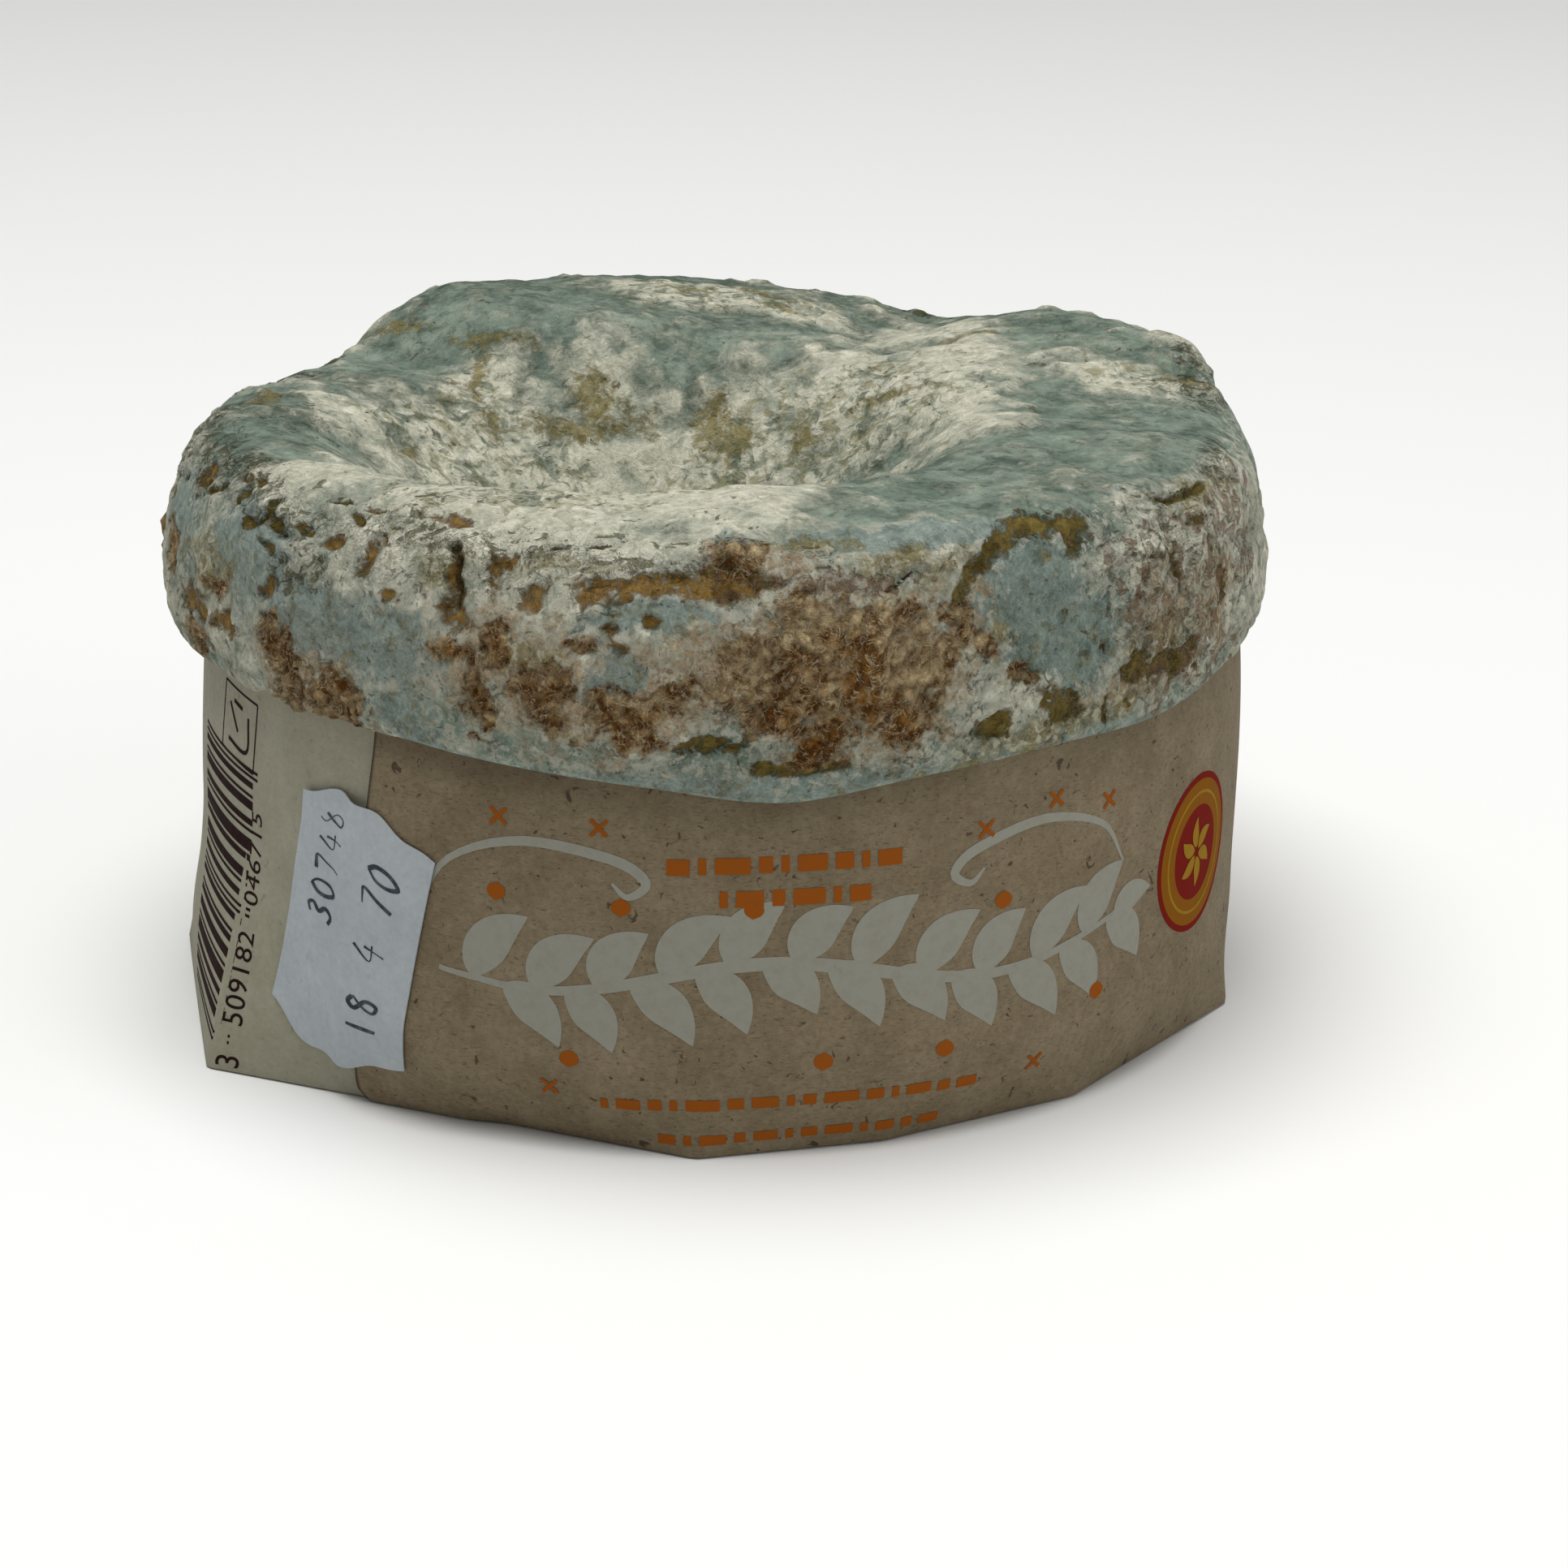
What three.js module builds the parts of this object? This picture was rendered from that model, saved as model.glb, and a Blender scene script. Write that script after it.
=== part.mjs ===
// A whole mushroom-shaped ripened cheese: a squat stalk under a wide, soft cap whose top has sunk
// into a bowl. A kraft paper band and a cream paper band go round the stalk and fold in under its
// foot, and a torn paper lot sticker lies over their seam.
// Millimetres, +Z up, the foot on z = 0. Azimuth 0 is the front (-Y) and grows towards +X.
import * as THREE from 'three';

// Driving dimensions of the cap
const CAP_RADIUS = 53.1;
const CAP_WIDEST_Z = 43.2;
const RIM_Z = 57.6;
const LIP_Z = 36.0;
const SHOULDER_POWER = 3.0;
const LEFT_SIDE_LEAN = 1.7;

// Driving dimensions of the bowl in the top
const BOWL_CENTRE_X = -7;
const BOWL_CENTRE_Y = -6;
const BOWL_HALF_WIDTH = 36;
const BOWL_HALF_DEPTH = 32;
const BOWL_DROP = 17;
const BOWL_FLOOR_SHARE = 0.22;

// Driving dimensions of the paper bands
const PAPER = 0.4;
const GAP = 0.3;
const BAND_RADIUS = 50.7;
const BAND_BULGE = 0.8;
const BAND_TOP_GAP = 0.1;
const FOLD_WIDTH = 11;
const SHORT_FOLD = 2;
const FOOT_RISE = 9;
const OVERLAP_LIFT = PAPER + GAP;

// Where a band strays from a plain barrel: fuller towards the lip at the right, fuller at the foot
// and drawn in above it at the left, and a little wider all round at the foot
const RIGHT_FULLNESS = 0.6;
const LEFT_FULLNESS_AT_FOOT = 0.6;
const LEFT_FULLNESS_ABOVE = -1.1;
const FOOT_FULLNESS = 0.5;
const CORNER_FLARE = { at: -62, wide: 20, rise: 16 };

// The rounded turn of the paper from its wall into its fold: distance in from the foot's edge, and
// height
const INNER_TURN = [{ inset: 1.3, up: PAPER }, { inset: 0.5, up: 1.1 }];
const OUTER_TURN = [{ inset: 0.1, up: 0.7 }, { inset: 0.9, up: 0 }];

// Where the bands end. The kraft band lies over both ends of the cream one, and its front end
// leans: it crosses these azimuths at the foot and at the lip.
const SEAM_AT_FOOT = -41.5;
const SEAM_AT_LIP = -36;
const KRAFT_BACK_END = 208;
const CREAM_FRONT_END = -30;
const CREAM_BACK_END = 200;
const SEAM_LEAN_FADE = 16;
const LIFT_FADE_START = 1;
const LIFT_FADE_END = 7;
const FOLD_CLEARANCE = 1;
const FOLD_CUT = 0.4;

// The lot sticker: middle, half sizes and lean, measured over the paper
const STICKER_AZIMUTH = -40.1;
const STICKER_Z = 17.5;
const STICKER_HALF_WIDTH = 8.1;
const STICKER_HALF_HEIGHT = 11;
const STICKER_LEAN = 12.5;
const STICKER_TOP_BULGE = 2;
const STICKER_FOOT_BULGE = 3.2;
const STICKER_BULGE_SKEW = 0.85;
const STICKER_BULGE_POWER = 1.3;
const STICKER_STEP_START = -4.5;
const STICKER_STEP_END = -1.5;

// How finely the surfaces are divided. The columns of cheese and paper share their azimuths, and
// the corners of the foot lie on them.
const COLUMN_STEP = 4;
const FIRST_COLUMN = 2;
const SHOULDER_STEPS = 7;
const TOP_STEPS = 14;
const BAND_HEIGHTS = [3, 5.5, 9, 13, 19, 27];
const STICKER_COLUMNS = 10;
const STICKER_ROWS = 12;

// Soft swellings of the rim's height, by azimuth: a low left lobe, a raised back-left lobe, a
// saddle at the back right, and a raised corner at the right
const RIM_SWELLS = [
  { at: 0, wide: 30, rise: 0.7 },
  { at: -84, wide: 20, rise: -0.7 },
  { at: -112, wide: 16, rise: -1.6 },
  { at: -127, wide: 8, rise: -2.4 },
  { at: -141, wide: 14, rise: 2.7 },
  { at: -167, wide: 20, rise: 1.9 },
  { at: 151, wide: 8, rise: -1.3 },
  { at: 126, wide: 15, rise: 1.8 },
  { at: 107, wide: 9, rise: 1.5 },
  { at: 86, wide: 12, rise: -1.1 },
  { at: 48, wide: 14, rise: -0.5 },
];

// Soft swellings of the cap's side, of the lip's height and of the crest's distance from the axis
const SIDE_SWELLS = [
  { at: 92, wide: 30, rise: 0.35 },
  { at: 12, wide: 16, rise: 0.3 },
  { at: -28, wide: 12, rise: -0.35 },
  { at: -121, wide: 12, rise: -2.2 },
  { at: 151, wide: 12, rise: -0.7 },
  { at: 178, wide: 26, rise: 0.45 },
];
const LIP_SWELLS = [
  { at: 7, wide: 10, rise: -2.5 },
  { at: -26, wide: 10, rise: -0.5 },
  { at: -42, wide: 16, rise: 1.9 },
  { at: -70, wide: 14, rise: 1.0 },
  { at: 46, wide: 10, rise: -0.7 },
  { at: 70, wide: 16, rise: 0.6 },
  { at: 180, wide: 60, rise: 0.8 },
];
const LIP_RIPPLE = 0.35;
const LIP_RIPPLE_COUNT = 11;
const CREST_RADIUS = 41;
const CREST_SWELLS = [
  { at: -80, wide: 22, rise: 3 },
  { at: -118, wide: 14, rise: -1 },
  { at: 55, wide: 34, rise: 2.5 },
  { at: 112, wide: 14, rise: 5.5 },
  { at: -20, wide: 20, rise: -1.5 },
];

// Raised and sunken patches on the side of the cap: azimuth and height of the middle, half widths
// in degrees and mm, and rise. A sunken facet lies under a ledge at the front right; crusts stand
// proud in the middle of the front and low at the left.
const SIDE_PATCHES = [
  { at: 38, wide: 9, z: 49, tall: 6, rise: -1.1 },
  { at: 34, wide: 9, z: 57, tall: 2.6, rise: 0.8 },
  { at: 12, wide: 12, z: 45, tall: 6, rise: 0.7 },
  { at: -21, wide: 6, z: 50, tall: 4, rise: -0.5 },
  { at: -14, wide: 10, z: 41, tall: 4, rise: 0.4 },
  { at: -44, wide: 10, z: 45, tall: 5, rise: -0.5 },
  { at: 74, wide: 8, z: 46, tall: 6, rise: -0.5 },
];

// Round dents and, with a negative drop, mounds in the top: a crease and a shelf on the bowl's back
// wall, a valley that runs back to the saddle, and a dent in the raised corner
const TOP_DENTS = [
  { x: -23, y: 19, reach: 5, drop: 1.6 },
  { x: -11, y: 21, reach: 7, drop: -2.2 },
  { x: 18, y: 30, reach: 10, drop: 1.2 },
  { x: 40, y: 9, reach: 7, drop: 1.6 },
];

// The rounded edge of the lip, from its root out: distance in from the side of the cap, and height
// over the lip. The first two are measured from the stalk and the flat foot.
const LIP_ROOT = { inset: 0.1, up: 0.9 };
const FOOT_EDGE = { inset: 3, out: 1.9, up: 0.9 };
const LIP_EDGE = [
  { inset: 2.1, up: 0.35 },
  { inset: 1.2, up: 0.25 },
  { inset: 0.55, up: 1.3 },
  { inset: 0.3, up: 3 },
];
const SIDE_ROW = { inset: 0.1, share: 0.55 };

// Corners of the folded paper foot: azimuth and distance from the axis
const FOOT_CORNERS = [
  { at: -58, reach: 56.6 },
  { at: -2, reach: 50.9 },
  { at: 18, reach: 49.4 },
  { at: 42, reach: 49.8 },
  { at: 74, reach: 52.2 },
  { at: 106, reach: 51.6 },
  { at: 138, reach: 50.6 },
  { at: 170, reach: 51.4 },
  { at: 206, reach: 50.4 },
  { at: 238, reach: 51.6 },
  { at: 266, reach: 53.6 },
];

const radians = (degrees) => (degrees * Math.PI) / 180;
const clamp = (value) => Math.min(1, Math.max(0, value));
const ease = (low, high, value) => {
  const share = clamp((value - low) / (high - low));
  return share * share * (3 - 2 * share);
};
const mix = (from, to, share) => from + (to - from) * share;

// The signed turn from one azimuth to another, within half a turn either way
function turnFrom(at, azimuth) {
  return ((((azimuth - at) % 360) + 540) % 360) - 180;
}

// The sum of a set of soft swellings at an azimuth
function swell(set, azimuth) {
  return set.reduce((sum, { at, wide, rise }) => {
    const turn = turnFrom(at, azimuth) / wide;
    return sum + rise * Math.exp(-turn * turn);
  }, 0);
}

function pointAt(azimuth, radius, z) {
  const angle = radians(azimuth);
  return [radius * Math.sin(angle), -radius * Math.cos(angle), z];
}

// How far the patches push out the side of the cap at an azimuth and height
function sideRelief(azimuth, z) {
  return SIDE_PATCHES.reduce((sum, patch) => {
    const turn = turnFrom(patch.at, azimuth) / patch.wide;
    const climb = (z - patch.z) / patch.tall;
    return sum + patch.rise * Math.exp(-turn * turn - climb * climb);
  }, 0);
}

const rimZ = (azimuth) => RIM_Z + swell(RIM_SWELLS, azimuth);
const capRadius = (azimuth) => CAP_RADIUS + swell(SIDE_SWELLS, azimuth);
const crestRadius = (azimuth) => CREST_RADIUS + swell(CREST_SWELLS, azimuth);

// The height of the cap's lower edge, faintly wavy all round
function lipZ(azimuth) {
  const ripple = LIP_RIPPLE * Math.sin(radians(azimuth) * LIP_RIPPLE_COUNT);
  return LIP_Z + swell(LIP_SWELLS, azimuth) + ripple;
}

// How far the top has sunk at x, y: the bowl, and the dents and mounds in and around it
function topDrop(x, y) {
  const across = (x - BOWL_CENTRE_X) / BOWL_HALF_WIDTH;
  const along = (y - BOWL_CENTRE_Y) / BOWL_HALF_DEPTH;
  const bowl = BOWL_DROP * (1 - ease(BOWL_FLOOR_SHARE, 1, Math.hypot(across, along)));
  return TOP_DENTS.reduce((sum, dent) => {
    const squared = ((x - dent.x) ** 2 + (y - dent.y) ** 2) / dent.reach ** 2;
    return sum + dent.drop * Math.exp(-squared);
  }, bowl);
}

// The plain radius of the paper band, before its foot is folded
function roundBand(azimuth, z) {
  const bulge = BAND_BULGE * Math.sin(Math.PI * clamp(z / LIP_Z));
  const right = RIGHT_FULLNESS * Math.max(0, Math.sin(radians(azimuth))) * ease(14, 34, z);
  const leftRise = mix(LEFT_FULLNESS_AT_FOOT, LEFT_FULLNESS_ABOVE, ease(3, 20, z));
  const left = swell([{ at: -90, wide: 34, rise: leftRise }], azimuth);
  const foot = FOOT_FULLNESS * (1 - ease(0, 14, z));
  return BAND_RADIUS + bulge + right + left + foot;
}

// The distance from the axis to the straight-sided outline of the foot
function footOutline(azimuth) {
  const count = FOOT_CORNERS.length;
  const side = FOOT_CORNERS.findIndex((corner, index) => {
    const next = FOOT_CORNERS[(index + 1) % count];
    const whole = ((next.at - corner.at) % 360 + 360) % 360;
    const part = ((azimuth - corner.at) % 360 + 360) % 360;
    return part < whole;
  });
  const corner = FOOT_CORNERS[side];
  const next = FOOT_CORNERS[(side + 1) % count];
  const [startX, startY] = pointAt(corner.at, corner.reach, 0);
  const [endX, endY] = pointAt(next.at, next.reach, 0);
  const [aimX, aimY] = pointAt(azimuth, 1, 0);
  const cross = startX * endY - startY * endX;
  return cross / (aimX * (endY - startY) - aimY * (endX - startX));
}

// The outer face of a paper band: round at the lip and drawn into flat sides at the foot. The
// corner at the front left stands out and its flare runs high up the band.
function bandOuter(azimuth, z) {
  const flareZ = FOOT_RISE + swell([CORNER_FLARE], azimuth);
  const share = (1 - clamp(z / flareZ)) ** 1.5;
  return mix(roundBand(azimuth, z), footOutline(azimuth), share);
}

// A closed body from rows of points. Each row is a closed loop of the same count, run the same way
// round. With poles, a fan round one point fills the first row and another fills the last. Without
// them each row runs out along one face and back along the other, and a strip fills the two ends.
function closedBody(rows, poles) {
  const count = rows[0].length;
  const lastRow = (rows.length - 1) * count;
  const faces = [];
  const quad = (a, b, c, d) => faces.push(a, b, c, a, c, d);
  for (let row = 0; row < rows.length - 1; row += 1) {
    const here = row * count;
    for (let step = 0; step < count; step += 1) {
      const next = (step + 1) % count;
      quad(here + step, here + next, here + count + next, here + count + step);
    }
  }
  if (poles) {
    const pole = rows.length * count;
    for (let step = 0; step < count; step += 1) {
      const next = (step + 1) % count;
      faces.push(pole, next, step);
      faces.push(pole + 1, lastRow + step, lastRow + next);
    }
  } else {
    for (let step = 0; step < count / 2 - 1; step += 1) {
      const across = count - 1 - step;
      quad(step + 1, step, across, across - 1);
      quad(lastRow + step, lastRow + step + 1, lastRow + across - 1, lastRow + across);
    }
  }
  const points = [...rows.flat(), ...(poles ?? [])];
  const geometry = new THREE.BufferGeometry();
  geometry.setAttribute('position', new THREE.Float32BufferAttribute(points.flat(), 3));
  geometry.setIndex(faces);
  geometry.computeVertexNormals();
  return geometry;
}

// The cheese in section at an azimuth, as radius and height, from the foot out, up and back in
function cheeseProfile(azimuth) {
  const lip = lipZ(azimuth);
  const wide = capRadius(azimuth);
  const crest = crestRadius(azimuth);
  const rim = rimZ(azimuth);
  const lean = swell([{ at: -92, wide: 28, rise: LEFT_SIDE_LEAN }], azimuth);
  const stalk = (z) => bandOuter(azimuth, z) - PAPER - GAP;
  const footZ = PAPER + GAP;
  const footRadius = Math.min(stalk(0), stalk(BAND_HEIGHTS[0])) - FOOT_EDGE.inset;
  const lipTop = lip + LIP_EDGE[LIP_EDGE.length - 1].up;
  const profile = [
    [footRadius * 0.5, footZ],
    [footRadius, footZ],
    [footRadius + FOOT_EDGE.out, footZ + FOOT_EDGE.up],
    ...BAND_HEIGHTS.map((z) => [stalk(z), z]),
    [stalk(lip) - LIP_ROOT.inset, lip + LIP_ROOT.up],
    ...LIP_EDGE.map(({ inset, up }) => [wide - inset, lip + up]),
    [wide - SIDE_ROW.inset, mix(lipTop, CAP_WIDEST_Z, SIDE_ROW.share)],
  ];
  for (let step = 0; step <= SHOULDER_STEPS; step += 1) {
    const angle = (step / SHOULDER_STEPS) * Math.PI * 0.5;
    const out = Math.cos(angle) ** (2 / SHOULDER_POWER);
    const up = Math.sin(angle) ** (2 / SHOULDER_POWER);
    profile.push([mix(crest, wide - lean * up, out), mix(CAP_WIDEST_Z, rim, up)]);
  }
  for (let step = 1; step < TOP_STEPS; step += 1) {
    const share = 1 - step / TOP_STEPS;
    profile.push([crest * share, mix(RIM_Z, rim, ease(0.45, 1, share))]);
  }
  return profile;
}

function cheeseBody() {
  const columns = [];
  for (let azimuth = FIRST_COLUMN; azimuth < 360; azimuth += COLUMN_STEP) {
    columns.push(cheeseProfile(azimuth).map(([radius, z]) => {
      const onSide = ease(CREST_RADIUS, CAP_RADIUS - 2, radius) * ease(LIP_Z, LIP_Z + 3, z);
      const [x, y] = pointAt(azimuth, radius + onSide * sideRelief(azimuth, z), 0);
      const sunk = ease(CAP_WIDEST_Z + 4, RIM_Z - 3, z) * topDrop(x, y);
      return [x, y, z - sunk];
    }));
  }
  const rows = columns[0].map((_, row) => columns.map((column) => column[row]));
  return closedBody(rows, [[0, 0, PAPER + GAP], [0, 0, RIM_Z - topDrop(0, 0)]]);
}

// A paper band from its sections, in order of azimuth. A section may lean with height, stand off
// what lies beneath, start above the floor, and fold in under the cheese more or less far.
function bandBody(sections) {
  const rows = sections.map(({ azimuth, lean = 0, lift = 0, footZ = 0, fold = FOLD_WIDTH }) => {
    const at = (z) => azimuth + lean * (z / LIP_Z - 0.5);
    const wallHeights = [...BAND_HEIGHTS, lipZ(at(LIP_Z)) - BAND_TOP_GAP];
    const outer = (z) => bandOuter(at(z), z) + lift;
    const edge = outer(0);
    const place = (radius, z) => pointAt(at(z), radius, z);
    const turn = ({ inset, up }) => place(edge - inset, footZ + up);
    return [
      place(edge - fold, footZ + PAPER),
      ...INNER_TURN.map(turn),
      ...wallHeights.map((z) => place(outer(z) - PAPER, z)),
      ...wallHeights.reverse().map((z) => place(outer(z), z)),
      ...OUTER_TURN.map(turn),
      place(edge - fold, footZ),
    ];
  });
  return closedBody(rows);
}

// The azimuths of the shared columns strictly between two azimuths
function columnsBetween(from, to) {
  const first = Math.ceil((from - FIRST_COLUMN + 1) / COLUMN_STEP) * COLUMN_STEP + FIRST_COLUMN;
  const azimuths = [];
  for (let azimuth = first; azimuth < to - 1; azimuth += COLUMN_STEP) {
    azimuths.push(azimuth);
  }
  return azimuths;
}

// How far the kraft band stands off the cheese: one paper more where it covers the cream band
function kraftLift(azimuth) {
  const front = 1 - ease(LIFT_FADE_START, LIFT_FADE_END, azimuth - CREAM_FRONT_END);
  const back = 1 - ease(LIFT_FADE_START, LIFT_FADE_END, CREAM_BACK_END - azimuth);
  return OVERLAP_LIFT * Math.max(front, back);
}

function kraftBand() {
  const start = (SEAM_AT_FOOT + SEAM_AT_LIP) / 2;
  const slant = SEAM_AT_LIP - SEAM_AT_FOOT;
  const azimuths = [start, ...columnsBetween(start, KRAFT_BACK_END), KRAFT_BACK_END];
  return bandBody(azimuths.map((azimuth) => ({
    azimuth,
    lean: slant * (1 - ease(0, SEAM_LEAN_FADE, azimuth - start)),
    lift: kraftLift(azimuth),
  })));
}

// The cream band folds under fully only between the kraft band's two ends. Beyond them its foot is
// cut short and stands on the kraft band's fold.
function creamBand() {
  const backFold = KRAFT_BACK_END + FOLD_CLEARANCE;
  const frontFold = SEAM_AT_FOOT + 360 - FOLD_CLEARANCE;
  const end = CREAM_FRONT_END + 360;
  const tuckedStretch = [CREAM_BACK_END, ...columnsBetween(CREAM_BACK_END, backFold)];
  const foldedStretch = columnsBetween(backFold + FOLD_CUT, frontFold - FOLD_CUT);
  const seamStretch = [...columnsBetween(frontFold, end), end];
  const tucked = (azimuth) => ({ azimuth, footZ: PAPER + GAP, fold: SHORT_FOLD });
  const cut = (azimuth) => ({ azimuth, fold: SHORT_FOLD });
  const folded = (azimuth) => ({ azimuth });
  return bandBody([
    ...[...tuckedStretch, backFold - FOLD_CUT].map(tucked),
    cut(backFold),
    ...[backFold + FOLD_CUT, ...foldedStretch, frontFold - FOLD_CUT].map(folded),
    cut(frontFold),
    ...[frontFold + FOLD_CUT, ...seamStretch].map(tucked),
  ]);
}

// The face that the sticker lies on: the kraft band right of the seam and the cream one left of it
function stickerBed(azimuth, z) {
  const seam = mix(SEAM_AT_FOOT, SEAM_AT_LIP, z / LIP_Z);
  const onKraft = ease(STICKER_STEP_START, STICKER_STEP_END, azimuth - seam);
  return bandOuter(azimuth, z) + kraftLift(azimuth) * onKraft;
}

// The sticker is a leaning label whose two short ends bulge
function lotSticker() {
  const lean = radians(STICKER_LEAN);
  const row = (along) => {
    const face = [];
    for (let column = 0; column <= STICKER_COLUMNS; column += 1) {
      const share = column / STICKER_COLUMNS;
      const bulge = along > 0 ? STICKER_TOP_BULGE : STICKER_FOOT_BULGE;
      const right = (share * 2 - 1) * STICKER_HALF_WIDTH;
      const swelling = Math.sin(Math.PI * share ** STICKER_BULGE_SKEW) ** STICKER_BULGE_POWER;
      const up = along * (STICKER_HALF_HEIGHT + bulge * swelling);
      const z = STICKER_Z + up * Math.cos(lean) - right * Math.sin(lean);
      const arc = right * Math.cos(lean) + up * Math.sin(lean);
      face.push([STICKER_AZIMUTH + (arc / BAND_RADIUS) * (180 / Math.PI), z]);
    }
    const place = (height) => ([azimuth, z]) => {
      return pointAt(azimuth, stickerBed(azimuth, z) + height, z);
    };
    return [...face.map(place(GAP + PAPER)), ...face.reverse().map(place(GAP))];
  };
  const rows = [];
  for (let step = 0; step <= STICKER_ROWS; step += 1) {
    rows.push(row((step / STICKER_ROWS) * 2 - 1));
  }
  return closedBody(rows);
}

function piece(name, geometry, colour, roughness) {
  const material = new THREE.MeshStandardMaterial({ color: colour, roughness, metalness: 0 });
  const mesh = new THREE.Mesh(geometry, material);
  mesh.name = name;
  return mesh;
}

const wrappedCheese = new THREE.Group();
wrappedCheese.add(
  piece('cheese', cheeseBody(), 0x8f9d90, 0.9),
  piece('kraft_band', kraftBand(), 0x9a8a72, 0.85),
  piece('cream_band', creamBand(), 0xa8a590, 0.8),
  piece('lot_sticker', lotSticker(), 0xaab2b6, 0.7),
);

export default wrappedCheese;
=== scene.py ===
import math
import random

import bpy
import numpy as np
from mathutils import Euler, Matrix, Vector, noise


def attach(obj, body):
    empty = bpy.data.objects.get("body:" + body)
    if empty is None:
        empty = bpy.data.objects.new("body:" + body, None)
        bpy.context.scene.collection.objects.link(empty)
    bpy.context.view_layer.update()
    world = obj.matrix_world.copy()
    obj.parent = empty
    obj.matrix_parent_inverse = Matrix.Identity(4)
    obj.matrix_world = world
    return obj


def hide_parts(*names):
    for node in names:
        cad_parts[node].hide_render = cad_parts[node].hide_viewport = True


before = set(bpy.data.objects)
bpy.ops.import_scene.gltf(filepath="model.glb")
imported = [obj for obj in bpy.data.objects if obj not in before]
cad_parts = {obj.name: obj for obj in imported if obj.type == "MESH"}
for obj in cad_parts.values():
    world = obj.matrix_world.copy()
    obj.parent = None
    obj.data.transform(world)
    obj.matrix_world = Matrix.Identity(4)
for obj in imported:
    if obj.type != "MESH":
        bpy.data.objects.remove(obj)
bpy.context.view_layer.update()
random.seed(7)

# The cheese: one whole soft-ripened cheese with a squat stalk and a wide cap whose top has sunk.
# White curd under a dry rind of blue-grey mould, cream bloom, moist ochre spots and granular brown crust.
# It stands on its own foot and the cap hangs over the paper bands.

MM = 0.001
CAP_RADIUS = 53.1
LIP_Z = 36.0
SAME_PLACE = 1e-6


def turned(angle):
    """An angle in degrees brought between -180 and 180."""
    return (angle + 180) % 360 - 180


def ease(low, high, value):
    """0 below low, 1 above high and a smooth rise between."""
    share = np.clip((value - low) / (high - low), 0, 1)
    return share * share * (3 - 2 * share)


def remember(piece, name, values):
    """Keeps a number for every vertex under a name, for the materials to read."""
    kept = piece.data.attributes.new(name, "FLOAT", "POINT")
    kept.data.foreach_set("value", values.astype(np.float32))


def places(piece):
    """The vertices of a mesh as rows of x, y, z in mm."""
    flat = np.zeros(len(piece.data.vertices) * 3)
    piece.data.vertices.foreach_get("co", flat)
    return flat.reshape(-1, 3) / MM


def put(piece, rows):
    """Moves the vertices of a mesh to rows of x, y, z in mm."""
    piece.data.vertices.foreach_set("co", (rows * MM).ravel())
    piece.data.update()


def work_on(piece):
    """Makes one object the only selected and active one."""
    bpy.ops.object.select_all(action="DESELECT")
    piece.select_set(True)
    bpy.context.view_layer.objects.active = piece


def pick_faces(piece, keep):
    """Selects the faces whose middles, as rows in mm, keep() accepts, and no other face."""
    count = len(piece.data.polygons)
    middles = np.zeros(count * 3)
    piece.data.polygons.foreach_get("center", middles)
    chosen = keep(middles.reshape(-1, 3) / MM)
    piece.data.vertices.foreach_set("select", np.zeros(len(piece.data.vertices), bool))
    piece.data.edges.foreach_set("select", np.zeros(len(piece.data.edges), bool))
    piece.data.polygons.foreach_set("select", chosen)


cheese = bpy.data.objects.new("cheese_with_rind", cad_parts["cheese"].data.copy())
bpy.context.scene.collection.objects.link(cheese)
work_on(cheese)
bpy.context.tool_settings.mesh_select_mode = (False, False, True)
bpy.ops.object.mode_set(mode="EDIT")
bpy.ops.mesh.select_all(action="SELECT")
bpy.ops.mesh.remove_doubles(threshold=SAME_PLACE)
bpy.ops.mesh.tris_convert_to_quads(face_threshold=math.radians(50), shape_threshold=math.radians(50))
bpy.ops.object.mode_set(mode="OBJECT")
rounded = cheese.modifiers.new("rounded", "SUBSURF")
rounded.levels = 2
rounded.render_levels = 2
bpy.ops.object.modifier_apply(modifier="rounded")

# The photographed side of the cap is cut once more, so that its crust has real grains.
CRUST_REACH = 47.5
pick_faces(
    cheese,
    lambda m: (m[:, 2] > LIP_Z) & (np.hypot(m[:, 0], m[:, 1]) > CRUST_REACH) & (m[:, 1] < 6),
)
bpy.ops.object.mode_set(mode="EDIT")
bpy.ops.mesh.subdivide(number_cuts=1, smoothness=0)
bpy.ops.object.mode_set(mode="OBJECT")

# Where each vertex lies: its azimuth, its distance from the axis, its height carried on over the shoulder,
# how far it is on the top and how far round the back, which the photo doesn't show.
spot = places(cheese)
turn = np.degrees(np.arctan2(spot[:, 0], -spot[:, 1]))
reach = np.hypot(spot[:, 0], spot[:, 1])
rise = spot[:, 2] + np.maximum(CAP_RADIUS - reach, 0)
on_top = 1 - ease(50.5, 52.5, reach)
unseen = ease(72, 96, np.abs(turned(turn)))


def grain(size, octaves=4, stretch=(1, 1, 1), seed=0):
    """Smooth noise about 0 at every vertex, with lumps of that size in mm."""
    at = spot * np.array(stretch) / size + seed * 17.3
    return np.array([noise.fractal(Vector(p), 0.9, 2.1, octaves) for p in at])


# Noise that breaks up the growths, and how far their edges stray in mm.
coarse = grain(9, 3)
middling = grain(3.2, 2, seed=1)
fine = grain(1.3, 4, seed=2) * (1 - 0.75 * on_top)
stray_right = 2.6 * grain(5.5, 2, seed=8) + 1.1 * grain(2.2, 2, seed=9)
stray_up = 2.2 * grain(5.5, 2, seed=10) + 0.9 * grain(2.2, 2, seed=11)
fringe = grain(1.6, 4, seed=12) * (1 - on_top) + grain(3.4, 2, seed=13) * on_top


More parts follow.
